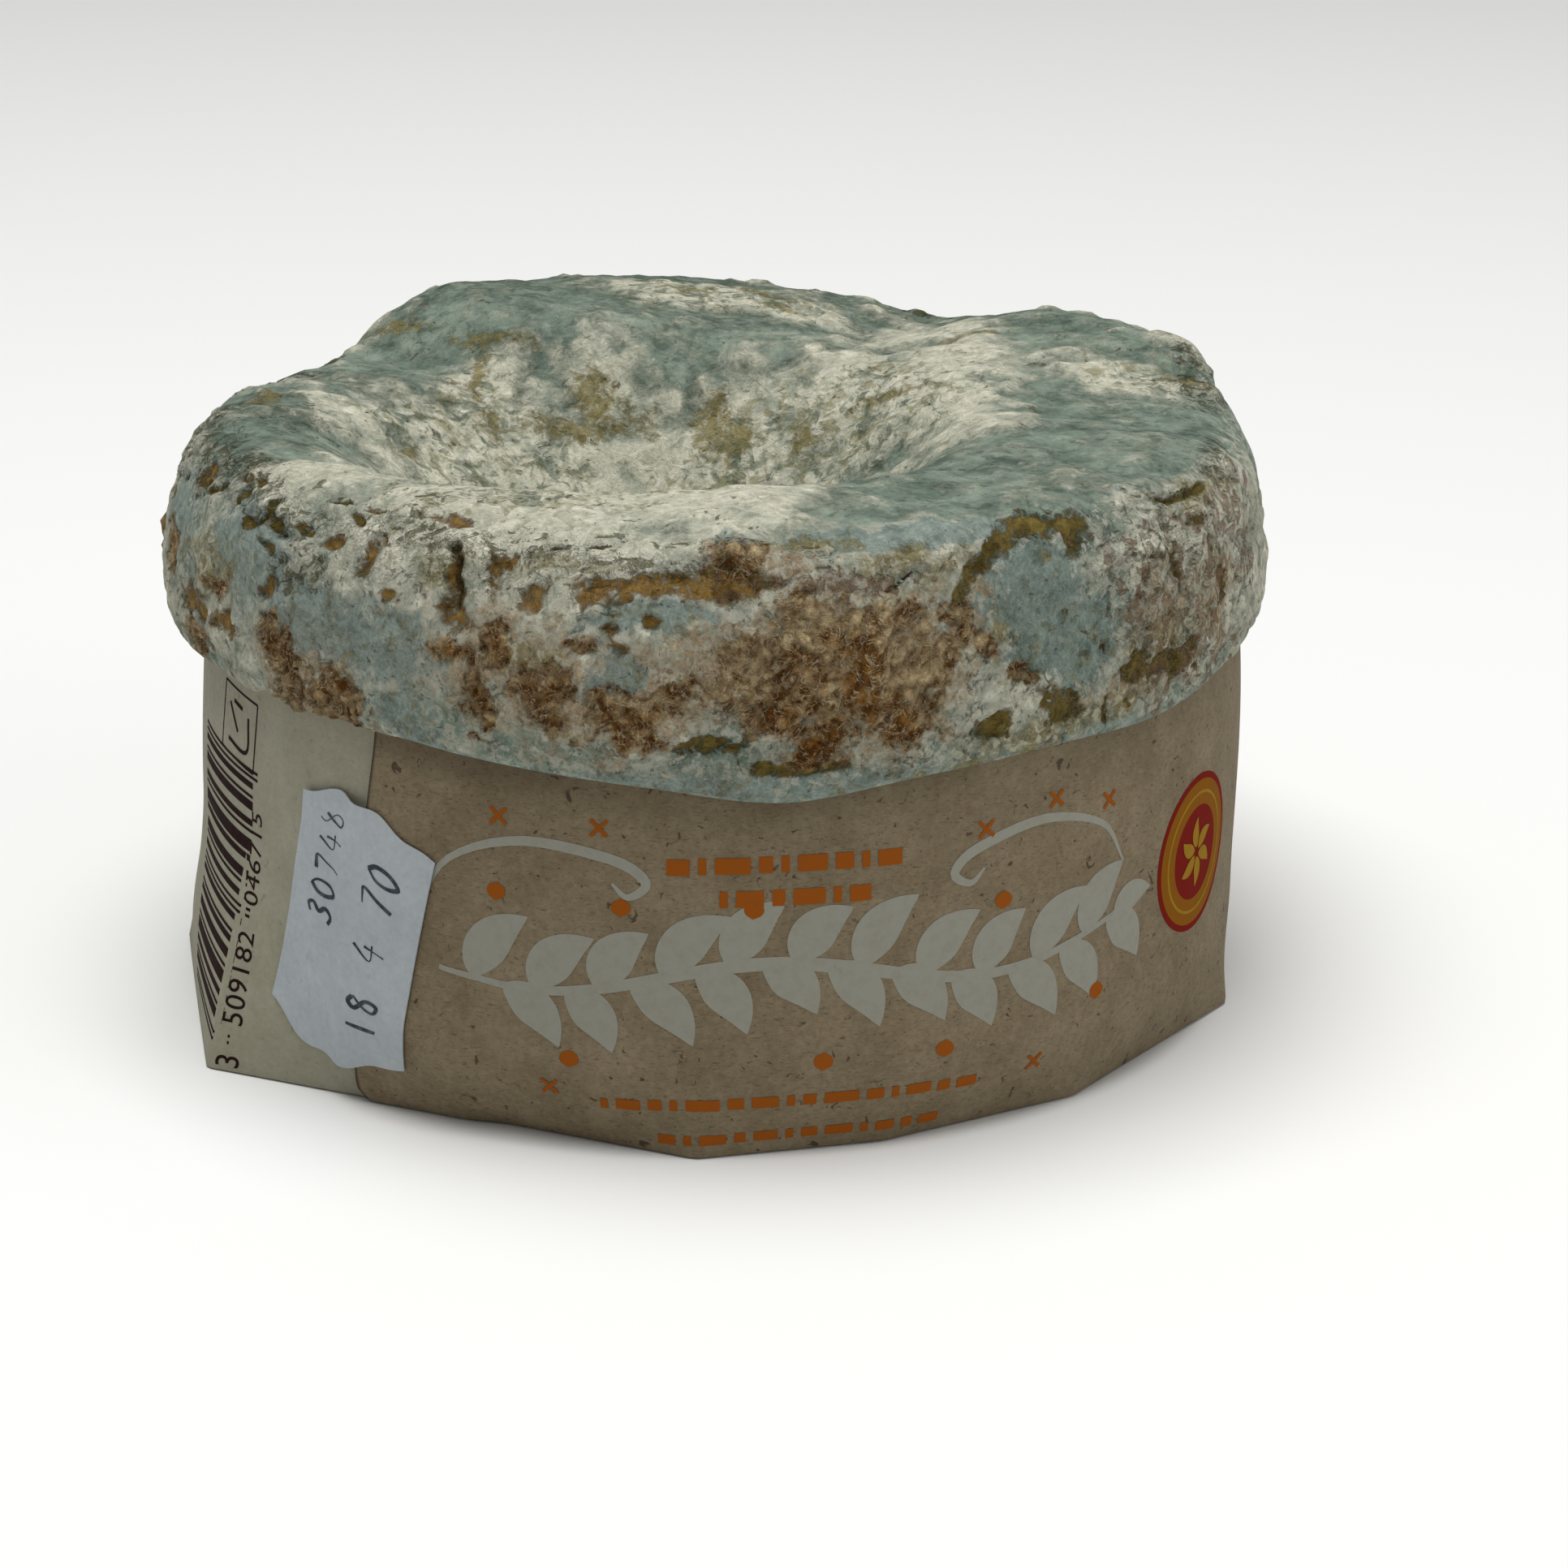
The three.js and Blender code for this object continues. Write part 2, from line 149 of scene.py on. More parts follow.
def ovals(across, along, patches):
    """1 in the middle of soft patches and 0.5 at their straying edges: place, half sizes in mm, lean."""
    best = np.full(len(spot), -0.6)
    for at, height, wide, tall, lean in patches:
        loose = min(0.85, 0.2 + 0.24 * min(wide, tall))
        right = across(at) + stray_right * loose
        up = along - height + stray_up * loose
        cos = math.cos(math.radians(lean))
        sin = math.sin(math.radians(lean))
        far = ((right * cos + up * sin) / wide) ** 2 + ((up * cos - right * sin) / tall) ** 2
        frayed = np.clip(1 + min(1.1, 2.2 / min(wide, tall)) * fringe, 0.55, 2)
        best = np.maximum(best, 1 - 0.5 * far * frayed)
    return best


def on_side(patches):
    """Soft patches round the side: azimuth, height carried on over the shoulder, half sizes, lean."""
    return ovals(lambda azimuth: np.radians(turned(turn - azimuth)) * CAP_RADIUS, rise, patches)


def on_the_top(patches):
    """Soft patches on the sunken top: x, y, half sizes, lean."""
    return ovals(lambda x: spot[:, 0] - x, spot[:, 1], patches) * on_top


def strew(groups, low, high, foot, top, small, large):
    """Random groups of long patches on the side that the photo doesn't show."""
    made = []
    for _ in range(groups):
        azimuth = random.uniform(low, high)
        height = random.uniform(foot, top)
        lean = random.uniform(-30, 30)
        for _ in range(random.randint(2, 5)):
            wide = random.uniform(small, large)
            tall = wide * random.uniform(0.3, 0.75)
            at = azimuth + random.gauss(0, 1.6 * large)
            up = min(max(height + random.gauss(0, 0.7 * large), foot), top)
            made.append((at, up, wide, tall, lean + random.uniform(-25, 25)))
    return made


# Bloom: cream white powder on the top and over the shoulder, in large clouds.
bloom = np.maximum(
    on_the_top([
        (-14, -36, 18, 9, 0), (-33, -27, 8, 8, 0), (-8, -16, 12, 13, 0), (-21, 2, 11, 12, 0),
        (3, 8, 13, 8, 0), (19, 11, 11, 7.5, 0), (20.5, 24, 5.6, 7.6, 0), (24, -2, 4.4, 8, 0),
        (-1, 36, 9.5, 3.0, -8), (9, 33.5, 4, 1.6, -20), (41.6, 8, 5.4, 2.8, 0), (-38, 5, 2.4, 7, 20),
        (-12.3, 17.8, 4, 1.8, 0), (-23.8, 17, 1.4, 2.6, 0), (-14, 8, 8, 5, 0),
    ]) + 0.28,
    on_side([
        (-22, 60, 28, 6, 0), (-3, 61, 10, 3.6, 0), (58, 49, 15, 8, 0), (30, 42, 12, 3, 0), (48, 55, 6, 4, 0),
    ]),
)
bloom = np.maximum(bloom, on_side([(17, 60.8, 14, 2.8, 0)]) - 0.36)
shoulder = reach + unseen * (5 * coarse + 6 * middling)
side_bloom = ease(37, 41, spot[:, 2]) * ease(47.5 - 3.5 * unseen, 50.5 + 2.5 * unseen, shoulder)
bloom = np.maximum(bloom, -0.6 + (1.2 - 0.15 * unseen) * side_bloom)
bloom = bloom - 0.3 * on_side([(-60, 60, 14, 6, 0)]).clip(0, 1)
bloom = 0.5 + (bloom - 0.45) * (1 - 0.35 * on_top) + 0.42 * middling + 0.4 * coarse
bloom = bloom + 0.35 * on_the_top([(-10, -41, 22, 7, 0)]).clip(0, 1)

# Blue-grey felt: the flat facet at the front right, hollows at the left and the cap's lip.
# Painted shade: the sunken facet gets a darker copy of the blue felt.
shaded_facet = on_side([(32.8, 53, 6.2, 6.2, 0), (38.2, 47.2, 6.4, 4.6, -10), (33, 46.6, 6, 2.6, 0)])
blue = on_side([
    (-41, 47.5, 13, 4.2, -6), (-54, 52, 7, 6, 0), (-5.3, 52, 6, 1.8, 8), (-9.5, 45.5, 2.4, 3, 0),
    (-31, 40.5, 5, 2.2, -20), (-74, 50, 8, 6, 0), (20, 61, 16, 2, 0),
] + strew(4, 104, 258, 40, 55, 4, 10))
blue = np.maximum(np.maximum(blue, shaded_facet), 0.72 - 1.3 * ease(0.4, 3.2, spot[:, 2] - LIP_Z))
blue = blue + 0.3 * middling + 0.15 * coarse
shaded_facet = shaded_facet + 0.2 * middling + 0.15 * coarse

# Waxy spots where the rind has turned moist: ochre in a band under the shoulder, olive round the facet.
ochre = on_side([
    (-11.6, 54.9, 2.8, 1.9, 10), (-6.6, 55.2, 3.8, 1.4, 4), (-1, 56, 4.2, 1.9, 6),
    (3.4, 56, 2.6, 1.7, 0), (-6.1, 51.2, 1.0, 0.6, 10), (-9.1, 48.9, 1.1, 0.7, -10),
    (-9.9, 50.3, 0.7, 0.5, 0), (-21.8, 55.8, 0.7, 1.8, 4), (-17.3, 54, 1.4, 1.5, 0),
    (-20.2, 58, 1.0, 0.8, 20), (-28.8, 62.6, 2.2, 0.7, 0), (-36, 57, 0.8, 2.6, -24),
    (-38.5, 62, 1.4, 0.5, 20), (-33, 52, 1.0, 0.8, 0), (-26, 51.2, 1.8, 1.4, 0),
    (-26.2, 54.6, 0.8, 3.4, 6), (-70, 58, 2.4, 1.2, 30), (-65, 43.2, 4.0, 1.8, 0),
    (-57, 44, 1.8, 1.0, 0), (-50, 49, 1.0, 1.4, 0), (-42, 56, 1.6, 0.6, 24),
] + strew(7, 96, 284, 41, 59, 0.7, 2.6))
ochre = ochre + 0.24 * middling + 0.25 * fine
olive = on_side([
    (24.3, 52.4, 0.8, 1.8, 8), (25.8, 55.6, 1.0, 1.8, -28), (28.6, 58.2, 2.4, 1.0, 48),
    (31.6, 59.6, 3.0, 1.8, 34), (35.6, 60.4, 3.6, 2.1, 2), (38.8, 58.8, 1.2, 2.4, 8),
    (35.6, 40.9, 1.7, 2.0, 0), (30.7, 43.8, 1.6, 1.0, 10), (27.1, 39.6, 2.6, 1.0, 12),
    (45.6, 42.3, 1.5, 1.5, 0), (51, 41.9, 3.8, 1.1, -8), (-0.4, 39.7, 2.4, 0.8, 0),
    (7, 37.9, 4.4, 0.7, 0), (54.6, 58.4, 2.2, 0.6, -10), (60, 58, 1.6, 0.7, 10),
    (58, 54, 1.6, 0.6, -30), (53, 50, 0.6, 1.8, 12), (61, 47, 0.6, 1.8, 10), (-64.6, 57, 1.8, 0.6, 35),
    (-60.5, 59.4, 1.7, 0.6, 20), (-56.5, 60.2, 1.7, 0.6, -20), (-58.6, 57.2, 0.6, 1.5, -25),
    (-52, 57.8, 0.6, 1.8, -20), (-54.7, 55.2, 1.2, 0.6, 30), (-50, 56, 1.6, 0.6, -40),
    (-46, 56.5, 1.3, 0.5, -30), (-51, 53.6, 1.1, 0.6, -10), (-43.8, 61.7, 1.8, 0.5, 15),
    (-40, 59.8, 1.1, 0.5, -30), (-72, 57, 0.6, 1.8, 10),
] + strew(7, 96, 284, 41, 59, 0.7, 2.6))
olive = olive + 0.24 * middling + 0.25 * fine

# Softer olive stains that show through the bloom.
stain = np.maximum(
    on_the_top([
        (-31, 28, 4.4, 0.5, -30), (-22.5, 22.6, 4, 0.5, -22), (-24, 18, 0.8, 3.2, 0),
        (-12.4, 17, 1.5, 1.4, 0), (-12.6, 13.8, 6.0, 0.8, 4), (-0.6, 14.4, 1.6, 3.0, 0),
        (1.6, 12, 0.9, 1.4, 0), (17.6, 8.6, 2.8, 0.7, -14), (46.2, 8, 2.2, 1.0, 0),
        (6, 38.6, 2.6, 0.8, -20), (7.4, 34.4, 2.2, 0.8, -20), (-3, 37, 2.2, 0.9, 10),
        (-22, 12, 1.0, 1.5, 0), (-30, 3, 0.7, 1.6, 0), (-43, 2, 1.0, 3.4, 0), (9, 9, 1.2, 1.0, 30),
        (26, 20, 4, 0.6, 20), (-20, 3, 0.7, 1.4, 0),
    ]),
    on_side([
        (9.6, 60.6, 4.6, 1.2, 0), (17, 58, 3.4, 1.4, 20), (-14, 57.6, 5, 1.2, 4), (-27, 55, 2.4, 2.0, 0),
        (-62, 48, 4, 3, 0), (28.3, 48.4, 0.9, 0.8, 0), (34.8, 56, 0.7, 0.6, 0), (22.6, 56.4, 3, 1.2, 40),
        (-17, 48, 3, 1.6, 0), (50, 44, 5, 2, 0), (62, 57, 7, 2, 0), (36, 38.8, 11, 1.3, 8),
    ] + strew(6, 92, 280, 42, 60, 2, 5)),
)
stain = 0.5 + 0.8 * (stain - 0.5) + 0.35 * middling + 0.3 * fine

# Crust: granular brown patches, each in a tan halo, with amber cores where it is thick and moist.
rust = on_side([
    (-25.7, 48, 2.4, 1.3, 0), (-20.6, 48.4, 1.6, 2.0, 0), (-23.5, 42.9, 1.5, 2.6, 0),
    (-15.9, 44.4, 2.3, 3.0, 0), (-7.9, 42.2, 3.2, 2.4, 20), (-4.2, 44.6, 3.4, 1.0, 38),
    (-47.4, 43.6, 1.8, 4.0, 30), (-40, 40.8, 4.2, 1.8, -12), (12.4, 47, 9.0, 6.4, 0),
    (4.4, 45.6, 4.4, 4, 0), (18.4, 45, 4.4, 4.6, 0), (10.1, 41, 2.6, 2.4, 0), (25.6, 48, 3.6, 1.1, -32),
    (24, 51.4, 1.6, 0.9, -10), (2.2, 58.8, 2.6, 1.9, 12), (-66, 40.5, 3.0, 1.2, 0),
    (30, 44.4, 2.0, 0.8, -15), (-60, 47, 3.0, 0.9, 10), (-12, 49, 1.4, 0.8, 0),
] + strew(5, 100, 278, 41, 50, 1.2, 4.4))
halo = np.maximum(rust + 0.15, on_side([
    (12, 48, 14, 8.4, 0), (-21, 46, 8, 6, 0), (-14, 44, 5, 5, 0), (-5, 45, 7, 4, 0),
    (49.5, 46.6, 6.5, 4, 30), (60, 46, 6, 4, 0), (26, 51, 4, 4, 0), (-1, 47.6, 4, 3, 0),
    (-44, 43, 6, 5, 20), (45, 41, 8, 2.4, 0), (3, 57, 6, 4, 0),
]) - 0.12)
halo = halo + 0.35 * middling + 0.2 * coarse
rust = rust + 0.07 + 0.3 * middling + 0.3 * fine
core = np.maximum(on_side([
    (14.2, 45, 1.7, 3.8, 4), (12.1, 49.6, 2.2, 1.0, 5), (10.1, 40.4, 2.0, 1.8, 0), (17.4, 41.6, 2.6, 1.4, 0),
    (2.4, 57, 2.4, 0.8, 6), (5.4, 43, 1.6, 1.4, 0),
]), 0.4 * on_side([
    (-23.5, 42.6, 1.3, 2.2, 0), (-15.9, 43.4, 1.6, 1.8, 0), (-8.2, 42, 2.2, 1.5, 20),
    (-25.7, 47.8, 1.9, 0.9, 0), (-20.6, 47.8, 1.2, 1.4, 0), (-43, 42, 2.4, 1.4, 0),
])).clip(0, 1) + 0.25 * fine
dry = on_side([(7.4, 51.4, 5, 2.4, 6), (18.8, 46.6, 2.6, 3.6, 10), (3, 46, 2, 3.4, 0)]).clip(0, 1)
core = core - 1.2 * dry

# Pits, curly flecks, cracks, and darker grey-green where the bloom is thin, partly painted shade.
pits = on_side([
    (54, 49, 11, 8, 0), (66, 50, 10, 8, 0), (44, 55, 3.4, 3, 0), (12, 55.6, 9, 1.6, 0), (57, 41, 9, 3, 0),
])
pits = np.maximum(pits, on_side(strew(5, 100, 250, 42, 54, 5, 9)) * 0.9)

flecks = np.maximum(on_side([
    (-51, 58.2, 8, 3.2, -8), (-76, 60.5, 6.5, 4.5, 0), (-64, 60.5, 7, 4, 0), (52, 58.6, 5.0, 1.6, 0),
    (-30, 60, 7, 2.4, 0), (-14, 59.2, 7, 1.6, 0), (70, 60, 6, 3, 0), (-46, 52, 5, 3, 0), (-4, 58, 9, 1.6, 0),
] + strew(6, 92, 280, 55, 61, 4, 8)), on_the_top([(-40, -6, 6, 9, 0), (-20, -38, 14, 4, 0)]) * 0.5)
flecks = np.maximum(flecks, 0.6 * on_side([(-24, 58, 34, 7, 0), (50, 52, 16, 9, 0)])) + 0.15 * fine

crack = on_side([
    (-27, 58.6, 0.5, 1.2, 12), (-26, 55.2, 0.38, 3.2, 6), (41.7, 38.9, 0.4, 1.4, 8),
    (-12.1, 60.6, 1.5, 0.4, 14), (-15.4, 60.2, 0.9, 0.3, -20), (18.2, 55.6, 1.7, 0.22, 40),
    (-19.6, 47.2, 0.4, 0.4, 0), (33.4, 45.6, 0.35, 0.3, 0), (41.4, 45.4, 0.35, 0.7, 20),
])
crack = crack + 0.25 * fine

# Painted shade in the folds of the bowl at the left, among patches of darker grey-green mould.
shade = np.maximum(
    on_the_top([
        (-30, 12, 8, 4.4, 0), (-20, 19.8, 4.6, 2.0, 0), (-42, -2, 5, 8, 0), (48, 23, 5, 4, 0),
        (26, 26, 7, 2, -20), (-3, 17, 1.0, 2.0, 0), (-20.6, 8, 1.2, 1.2, 0), (-21, 12.6, 1.8, 0.8, 0),
    ]),
    on_side([(-70, 61, 8, 4, 0), (50, 60.2, 5, 1.6, 0)]),
)
# Painted shade over the back lobe of the top.
shade = np.maximum(shade, on_the_top([(-10, 45, 42, 14, 0)]) * 0.85)
shade = shade + 0.4 * middling + 0.3 * coarse

# Where fine marks show: specks in the bloom, powder, felt and threads. Each keeps off the moist spots.
speckle = np.maximum(
    on_the_top([
        (10, 6, 18, 11, 0), (-22, 6, 12, 12, 0), (-1, 36, 13, 6, 0), (42, 8, 7, 4.4, 0),
        (-14, -34, 18, 9, 0),
    ]),
    on_side([(-24, 56, 24, 5, 0), (0, 44, 40, 5, 0), (56, 48, 16, 9, 0)]) * 0.65,
)
spots = np.maximum(np.maximum(ochre, olive), np.maximum(rust, crack))
speckle = speckle * (1 - 0.8 * ease(0.3, 0.55, spots))
powder = np.clip(ease(46, 51, reach) * (1 - 0.8 * ease(0.55, 0.8, blue)), 0.2, 1)
powder = powder * (1 - 0.85 * ease(0.3, 0.55, spots))
felt = 0.8 - 0.6 * ease(0.3, 0.6, np.maximum(spots, 0.9 * bloom))
downy = (0.4 + 0.25 * ease(46, 51, reach)) * (1 - 0.5 * ease(0.3, 0.55, spots))

# Relief in mm: the bloom stands up, ochre spots and cracks sink in, and the crust breaks up into grains.
GRAIN_SIZE = 1.35
cap = ease(0.2, 2.2, spot[:, 2] - LIP_Z - 0.4) * ease(LIP_Z - 2, LIP_Z, spot[:, 2])
smooth = ease(0.45, 0.7, blue)
crumbly = ease(0.42, 0.6, rust)
grains = np.zeros(len(spot))
for i in np.nonzero(crumbly * cap > 0.02)[0]:
    near = noise.voronoi(Vector(spot[i] / GRAIN_SIZE + fine[i] * 0.45))[0]
    grains[i] = min(near[1] - near[0], 0.9)
relief = 0.45 * coarse + (0.22 * middling + 0.08 * fine) * (1 - 0.7 * smooth)
relief = relief + 0.25 * ease(0.4, 0.7, bloom) * (1 - smooth)
relief = relief - 0.36 * ease(0.45, 0.6, np.maximum(ochre, olive))
relief = relief + crumbly * (0.8 * grains - 0.35 + 0.3 * fine)
relief = relief - 0.6 * ease(0.4, 0.8, crack)
relief = relief - 0.4 * ease(0.3, 0.6, pits) * ease(0.08, 0.26, grain(1.9, 2, (1.2, 1.2, 0.6), seed=5))
relief = relief - 0.3 * ease(0.3, 0.7, flecks) * ease(0.12, 0.3, grain(2.4, 2, (0.5, 1.2, 1.5), seed=6))
relief = relief + 0.6 * on_side([(2.2, 58.8, 2.6, 1.9, 12), (10.1, 40.4, 2.0, 1.8, 0)]).clip(0, 1)
way_out = np.zeros(len(spot) * 3)
cheese.data.vertex_normals.foreach_get("vector", way_out)
put(cheese, spot + way_out.reshape(-1, 3) * (relief * cap)[:, None])
for name, values in {
    "bloom": bloom, "blue": blue, "ochre": ochre, "rust": rust, "pits": pits, "flecks": flecks,
    "crack": crack, "shade": shade, "speckle": speckle, "powder": powder, "kernel": grains, "stain": stain,
    "halo": halo, "core": core, "felt": felt, "downy": downy, "shaded_facet": shaded_facet, "olive": olive,
}.items():
    remember(cheese, name, values)
work_on(cheese)
bpy.ops.object.shade_smooth()


def colour(code):
    """An sRGB hex colour as linear red, green, blue, alpha."""
    channels = [int(code[i:i + 2], 16) / 255 for i in (0, 2, 4)]
    return [c / 12.92 if c <= 0.04045 else ((c + 0.055) / 1.055) ** 2.4 for c in channels] + [1.0]


def feed(tree, node, links):
    """Links a source to each named socket. A source that is a node gives its first output in use."""
    for key, source in links.items():
        if hasattr(source, "outputs"):
            source = next(socket for socket in source.outputs if socket.enabled)
        tree.links.new(source, node.inputs[key])


def add(tree, kind, settings=None, links=None):
    """Adds a shader node with its properties and socket values, and feeds it.

    The sockets of a mix go by number: 0 is the share, 2 and 3 are its numbers, 6 and 7 its colours.
    """
    made = tree.nodes.new("ShaderNode" + kind)
    for key, value in (settings or {}).items():
        if isinstance(key, str) and hasattr(made, key):
            setattr(made, key, value)
        else:
            made.inputs[key].default_value = value
    feed(tree, made, links or {})
    return made


def material(name, piece):
    """A new material on a piece: its node tree and its shader."""
    made = bpy.data.materials.new(name)
    made.use_nodes = True
    piece.data.materials.clear()
    piece.data.materials.append(made)
    return made.node_tree, made.node_tree.nodes["Principled BSDF"]


# Mould rind: mould is a dull felt, bloom a dry powder, and only the ochre and brown spots look moist.
# A pattern of 1000 / size lumps in a metre has lumps of that size in mm.
tree, surface = material("mould_rind", cheese)
where = add(tree, "TexCoord").outputs["Object"]
drawn_out = add(tree, "Mapping", {"Scale": (0.75, 1.1, 1.2)}, {"Vector": where})
cloud = add(
    tree, "TexNoise", {"Scale": 1000 / 4.35, "Detail": 12, "Roughness": 0.72, "Distortion": 0.2},
    {"Vector": where},
)
cloud = add(tree, "MapRange", {"From Min": 0.37, "From Max": 0.63}, {"Value": cloud})
dust = add(tree, "TexNoise", {"Scale": 1000 / 0.588, "Detail": 5, "Roughness": 0.78}, {"Vector": where})
skin = add(tree, "Mix", {"data_type": "RGBA", 6: colour("4e5c50"), 7: colour("899889")}, {0: cloud})

# The skin's colour, its height in mm and its moistness start here, and each growth is laid over them.
height = add(tree, "Math", {"operation": "MULTIPLY", 1: 0.3}, {0: dust})
wet = add(tree, "Math", {"operation": "MULTIPLY", 1: 0.0}, {0: dust})
kernel = add(tree, "TexVoronoi", {"Scale": 1000 / 0.952}, {"Vector": where})
kernel_tone = add(tree, "SeparateColor", None, {0: kernel.outputs["Color"]})
# Painted shade: the crevices between the crust's grains are darkened, and the same gaps sink in the bump.
kernel_gap = add(
    tree, "MapRange", {"From Min": 0.35, "From Max": 0.8, "To Max": 0.5},
    {"Value": kernel.outputs["Distance"]},
)
# Painted shade and light on the crust from each grain's height: its top lighter, its hollows darker.
painted_grain_shade = add(tree, "Attribute", {"attribute_name": "kernel"}).outputs["Fac"]
painted_grain_shade = add(tree, "MapRange", {"From Min": 0.05, "From Max": 0.5}, {"Value": painted_grain_shade})

# Each growth on the rind, from the lowest up: its mask, grain size in mm, how ragged and how soft its edge
# is, how much of it covers, its two colours, how far it stands up in mm and how moist it is.
for mask, size, ragged, soft, most, dark, light, stands, moist in (
    # shade: darker mould, with painted shade in the bowl's folds and over the back lobe.
    ("shade", 1.5, 2.0, 0.45, 0.9, "3d4b3c", "647267", 0.0, 0.0),
    ("bloom", 2.2, 2.4, 0.52, 1.0, "a3a490", "dfdcc8", 0.2, 0.0),
    ("halo", 1.3, 2.8, 0.36, 0.75, "724f30", "b59a70", 0.1, 0.0),
    ("blue", 1.6, 1.5, 0.22, 0.9, "6b7b74", "98a79f", 0.0, 0.0),
    # The facet: the blue felt again, painted darker as shade on the sunken facet.
    ("shaded_facet", 1.6, 1.5, 0.22, 0.9, "586961", "89998f", 0.0, 0.0),
    ("stain", 0.9, 4.0, 0.50, 0.9, "5a5024", "938855", -0.1, 0.2),
    ("ochre", 1.1, 3.4, 0.36, 0.95, "563908", "a07d38", -0.2, 0.4),
    ("olive", 1.1, 3.2, 0.30, 1.0, "3e330f", "85733a", -0.2, 0.4),
    ("rust", 0.8, 2.8, 0.24, 1.0, "583302", "ccb68a", 0.05, 0.2),
    ("crack", 0.5, 1.6, 0.20, 0.95, "40331a", "6b5b2e", -0.3, 0.3),
):
    value = add(tree, "Attribute", {"attribute_name": mask}).outputs["Fac"]
    edge = add(
        tree, "TexNoise", {"Scale": 1000 / size, "Detail": 8, "Roughness": 0.72, "Distortion": 0.6},
        {"Vector": where},
    )
    edge = add(tree, "Math", {"operation": "MULTIPLY_ADD", 1: ragged, 2: -0.5 * ragged}, {0: edge})
    edge = add(tree, "Math", {"operation": "ADD"}, {0: value, 1: edge})
    factor = add(
        tree, "MapRange",
        {"interpolation_type": "SMOOTHSTEP", "From Min": 0.5 - soft, "From Max": 0.5 + soft, "To Max": most},
        {"Value": edge},
    )
    tone = add(
        tree, "TexNoise", {"Scale": 1000 / 1.786, "Detail": 8, "Roughness": 0.78, "Distortion": 0.8},
        {"Vector": where},
    )
    tone = add(tree, "MapRange", {"From Min": 0.37, "From Max": 0.63}, {"Value": tone})
    if mask == "rust":
        tone = add(tree, "Mix", {"data_type": "FLOAT", 0: 0.3}, {2: tone, 3: kernel_tone})
        tone = add(tree, "Mix", {"data_type": "FLOAT", 0: 0.3}, {2: tone, 3: painted_grain_shade})
        tone = add(tree, "MapRange", {"From Min": 0.25, "From Max": 0.8}, {"Value": tone})
        paler = add(tree, "Attribute", {"attribute_name": "core"}).outputs["Fac"]
        tone = add(tree, "Math", {"operation": "MULTIPLY_ADD", 1: -0.16}, {0: paler, 2: tone})
    if mask in ("ochre", "olive"):
        deep = add(tree, "MapRange", {"From Min": 0.4, "From Max": 0.9, "To Min": 0.5}, {"Value": edge})
        tone = add(tree, "Math", {"operation": "MULTIPLY"}, {0: tone, 1: deep})
    tint = add(tree, "Mix", {"data_type": "RGBA", 6: colour(dark), 7: colour(light)}, {0: tone})
    if mask == "rust":
        warm = add(tree, "Attribute", {"attribute_name": "core"}).outputs["Fac"]
        warm = add(tree, "Math", {"operation": "MULTIPLY_ADD", 1: 0.8}, {0: edge, 2: warm})
        warm = add(tree, "MapRange", {"From Min": 0.7, "From Max": 1.5, "To Max": 0.95}, {"Value": warm})
        amber = add(tree, "Mix", {"data_type": "RGBA", 6: colour("553002"), 7: colour("a27028")}, {0: tone})
        tint = add(tree, "Mix", {"data_type": "RGBA"}, {0: warm, 6: tint, 7: amber})
        # Painted shade in the gaps between the grains.
        tint = add(tree, "Mix", {"data_type": "RGBA", 7: colour("3c2402")}, {0: kernel_gap, 6: tint})
        dome = add(tree, "Math", {"operation": "MULTIPLY"}, {0: kernel_gap, 1: factor})
        height = add(tree, "Math", {"operation": "MULTIPLY_ADD", 1: -0.45}, {0: dome, 2: height})
    skin = add(tree, "Mix", {"data_type": "RGBA"}, {0: factor, 6: skin, 7: tint})
    height = add(tree, "Math", {"operation": "MULTIPLY_ADD", 1: stands}, {0: factor, 2: height})
    wet = add(tree, "Mix", {"data_type": "FLOAT", 3: moist}, {0: factor, 2: wet})

# Finer marks: olive holes in the bloom, brown pits on the right, curly dark flecks on the shoulder, white
# powder, dark specks and pale felt. Mask, size in mm, twist, thresholds, cover, colour and rise in mm.
for mask, size, twist, low, high, most, tint, stands in (
    ("speckle", 2.4, 0.9, 0.53, 0.65, 0.6, "7c764a", -0.12),
    ("speckle", 1.4, 0.6, 0.57, 0.66, 0.6, "5a634d", -0.12),
    ("speckle", 3.2, 1.4, 0.57, 0.66, 0.6, "4a5b4b", -0.12),
    ("pits", 1.5, 0.7, 0.50, 0.58, 0.8, "7a6149", -0.35),
    ("flecks", 1.5, 1.0, 0.53, 0.60, 0.75, "4b4723", -0.3),
    ("powder", 0.9, 0.5, 0.50, 0.64, 0.55, "cdccbc", 0.1),
    ("powder", 1.1, 0.8, 0.63, 0.69, 0.6, "3f4231", -0.15),
    ("felt", 1.6, 0.4, 0.58, 0.68, 0.5, "435046", -0.1),
    ("felt", 2.4, 0.5, 0.54, 0.70, 0.30, "aab3a4", 0.06),
):
    value = add(tree, "Attribute", {"attribute_name": mask}).outputs["Fac"]
    value = add(
        tree, "MapRange", {"From Min": 0.1, "From Max": 0.8, "To Min": -0.15, "To Max": 0.03},
        {"Value": value},
    )
    grid = drawn_out if mask == "flecks" else where
    hole = add(
        tree, "TexNoise", {"Scale": 1000 / size, "Detail": 5, "Roughness": 0.6, "Distortion": twist},
        {"Vector": grid},
    )
    hole = add(tree, "Math", {"operation": "ADD"}, {0: hole, 1: value})
    factor = add(
        tree, "MapRange",
        {"interpolation_type": "SMOOTHSTEP", "From Min": low, "From Max": high, "To Max": most},
        {"Value": hole},
    )
    skin = add(tree, "Mix", {"data_type": "RGBA", 7: colour(tint)}, {0: factor, 6: skin})
    height = add(tree, "Math", {"operation": "MULTIPLY_ADD", 1: stands}, {0: factor, 2: height})

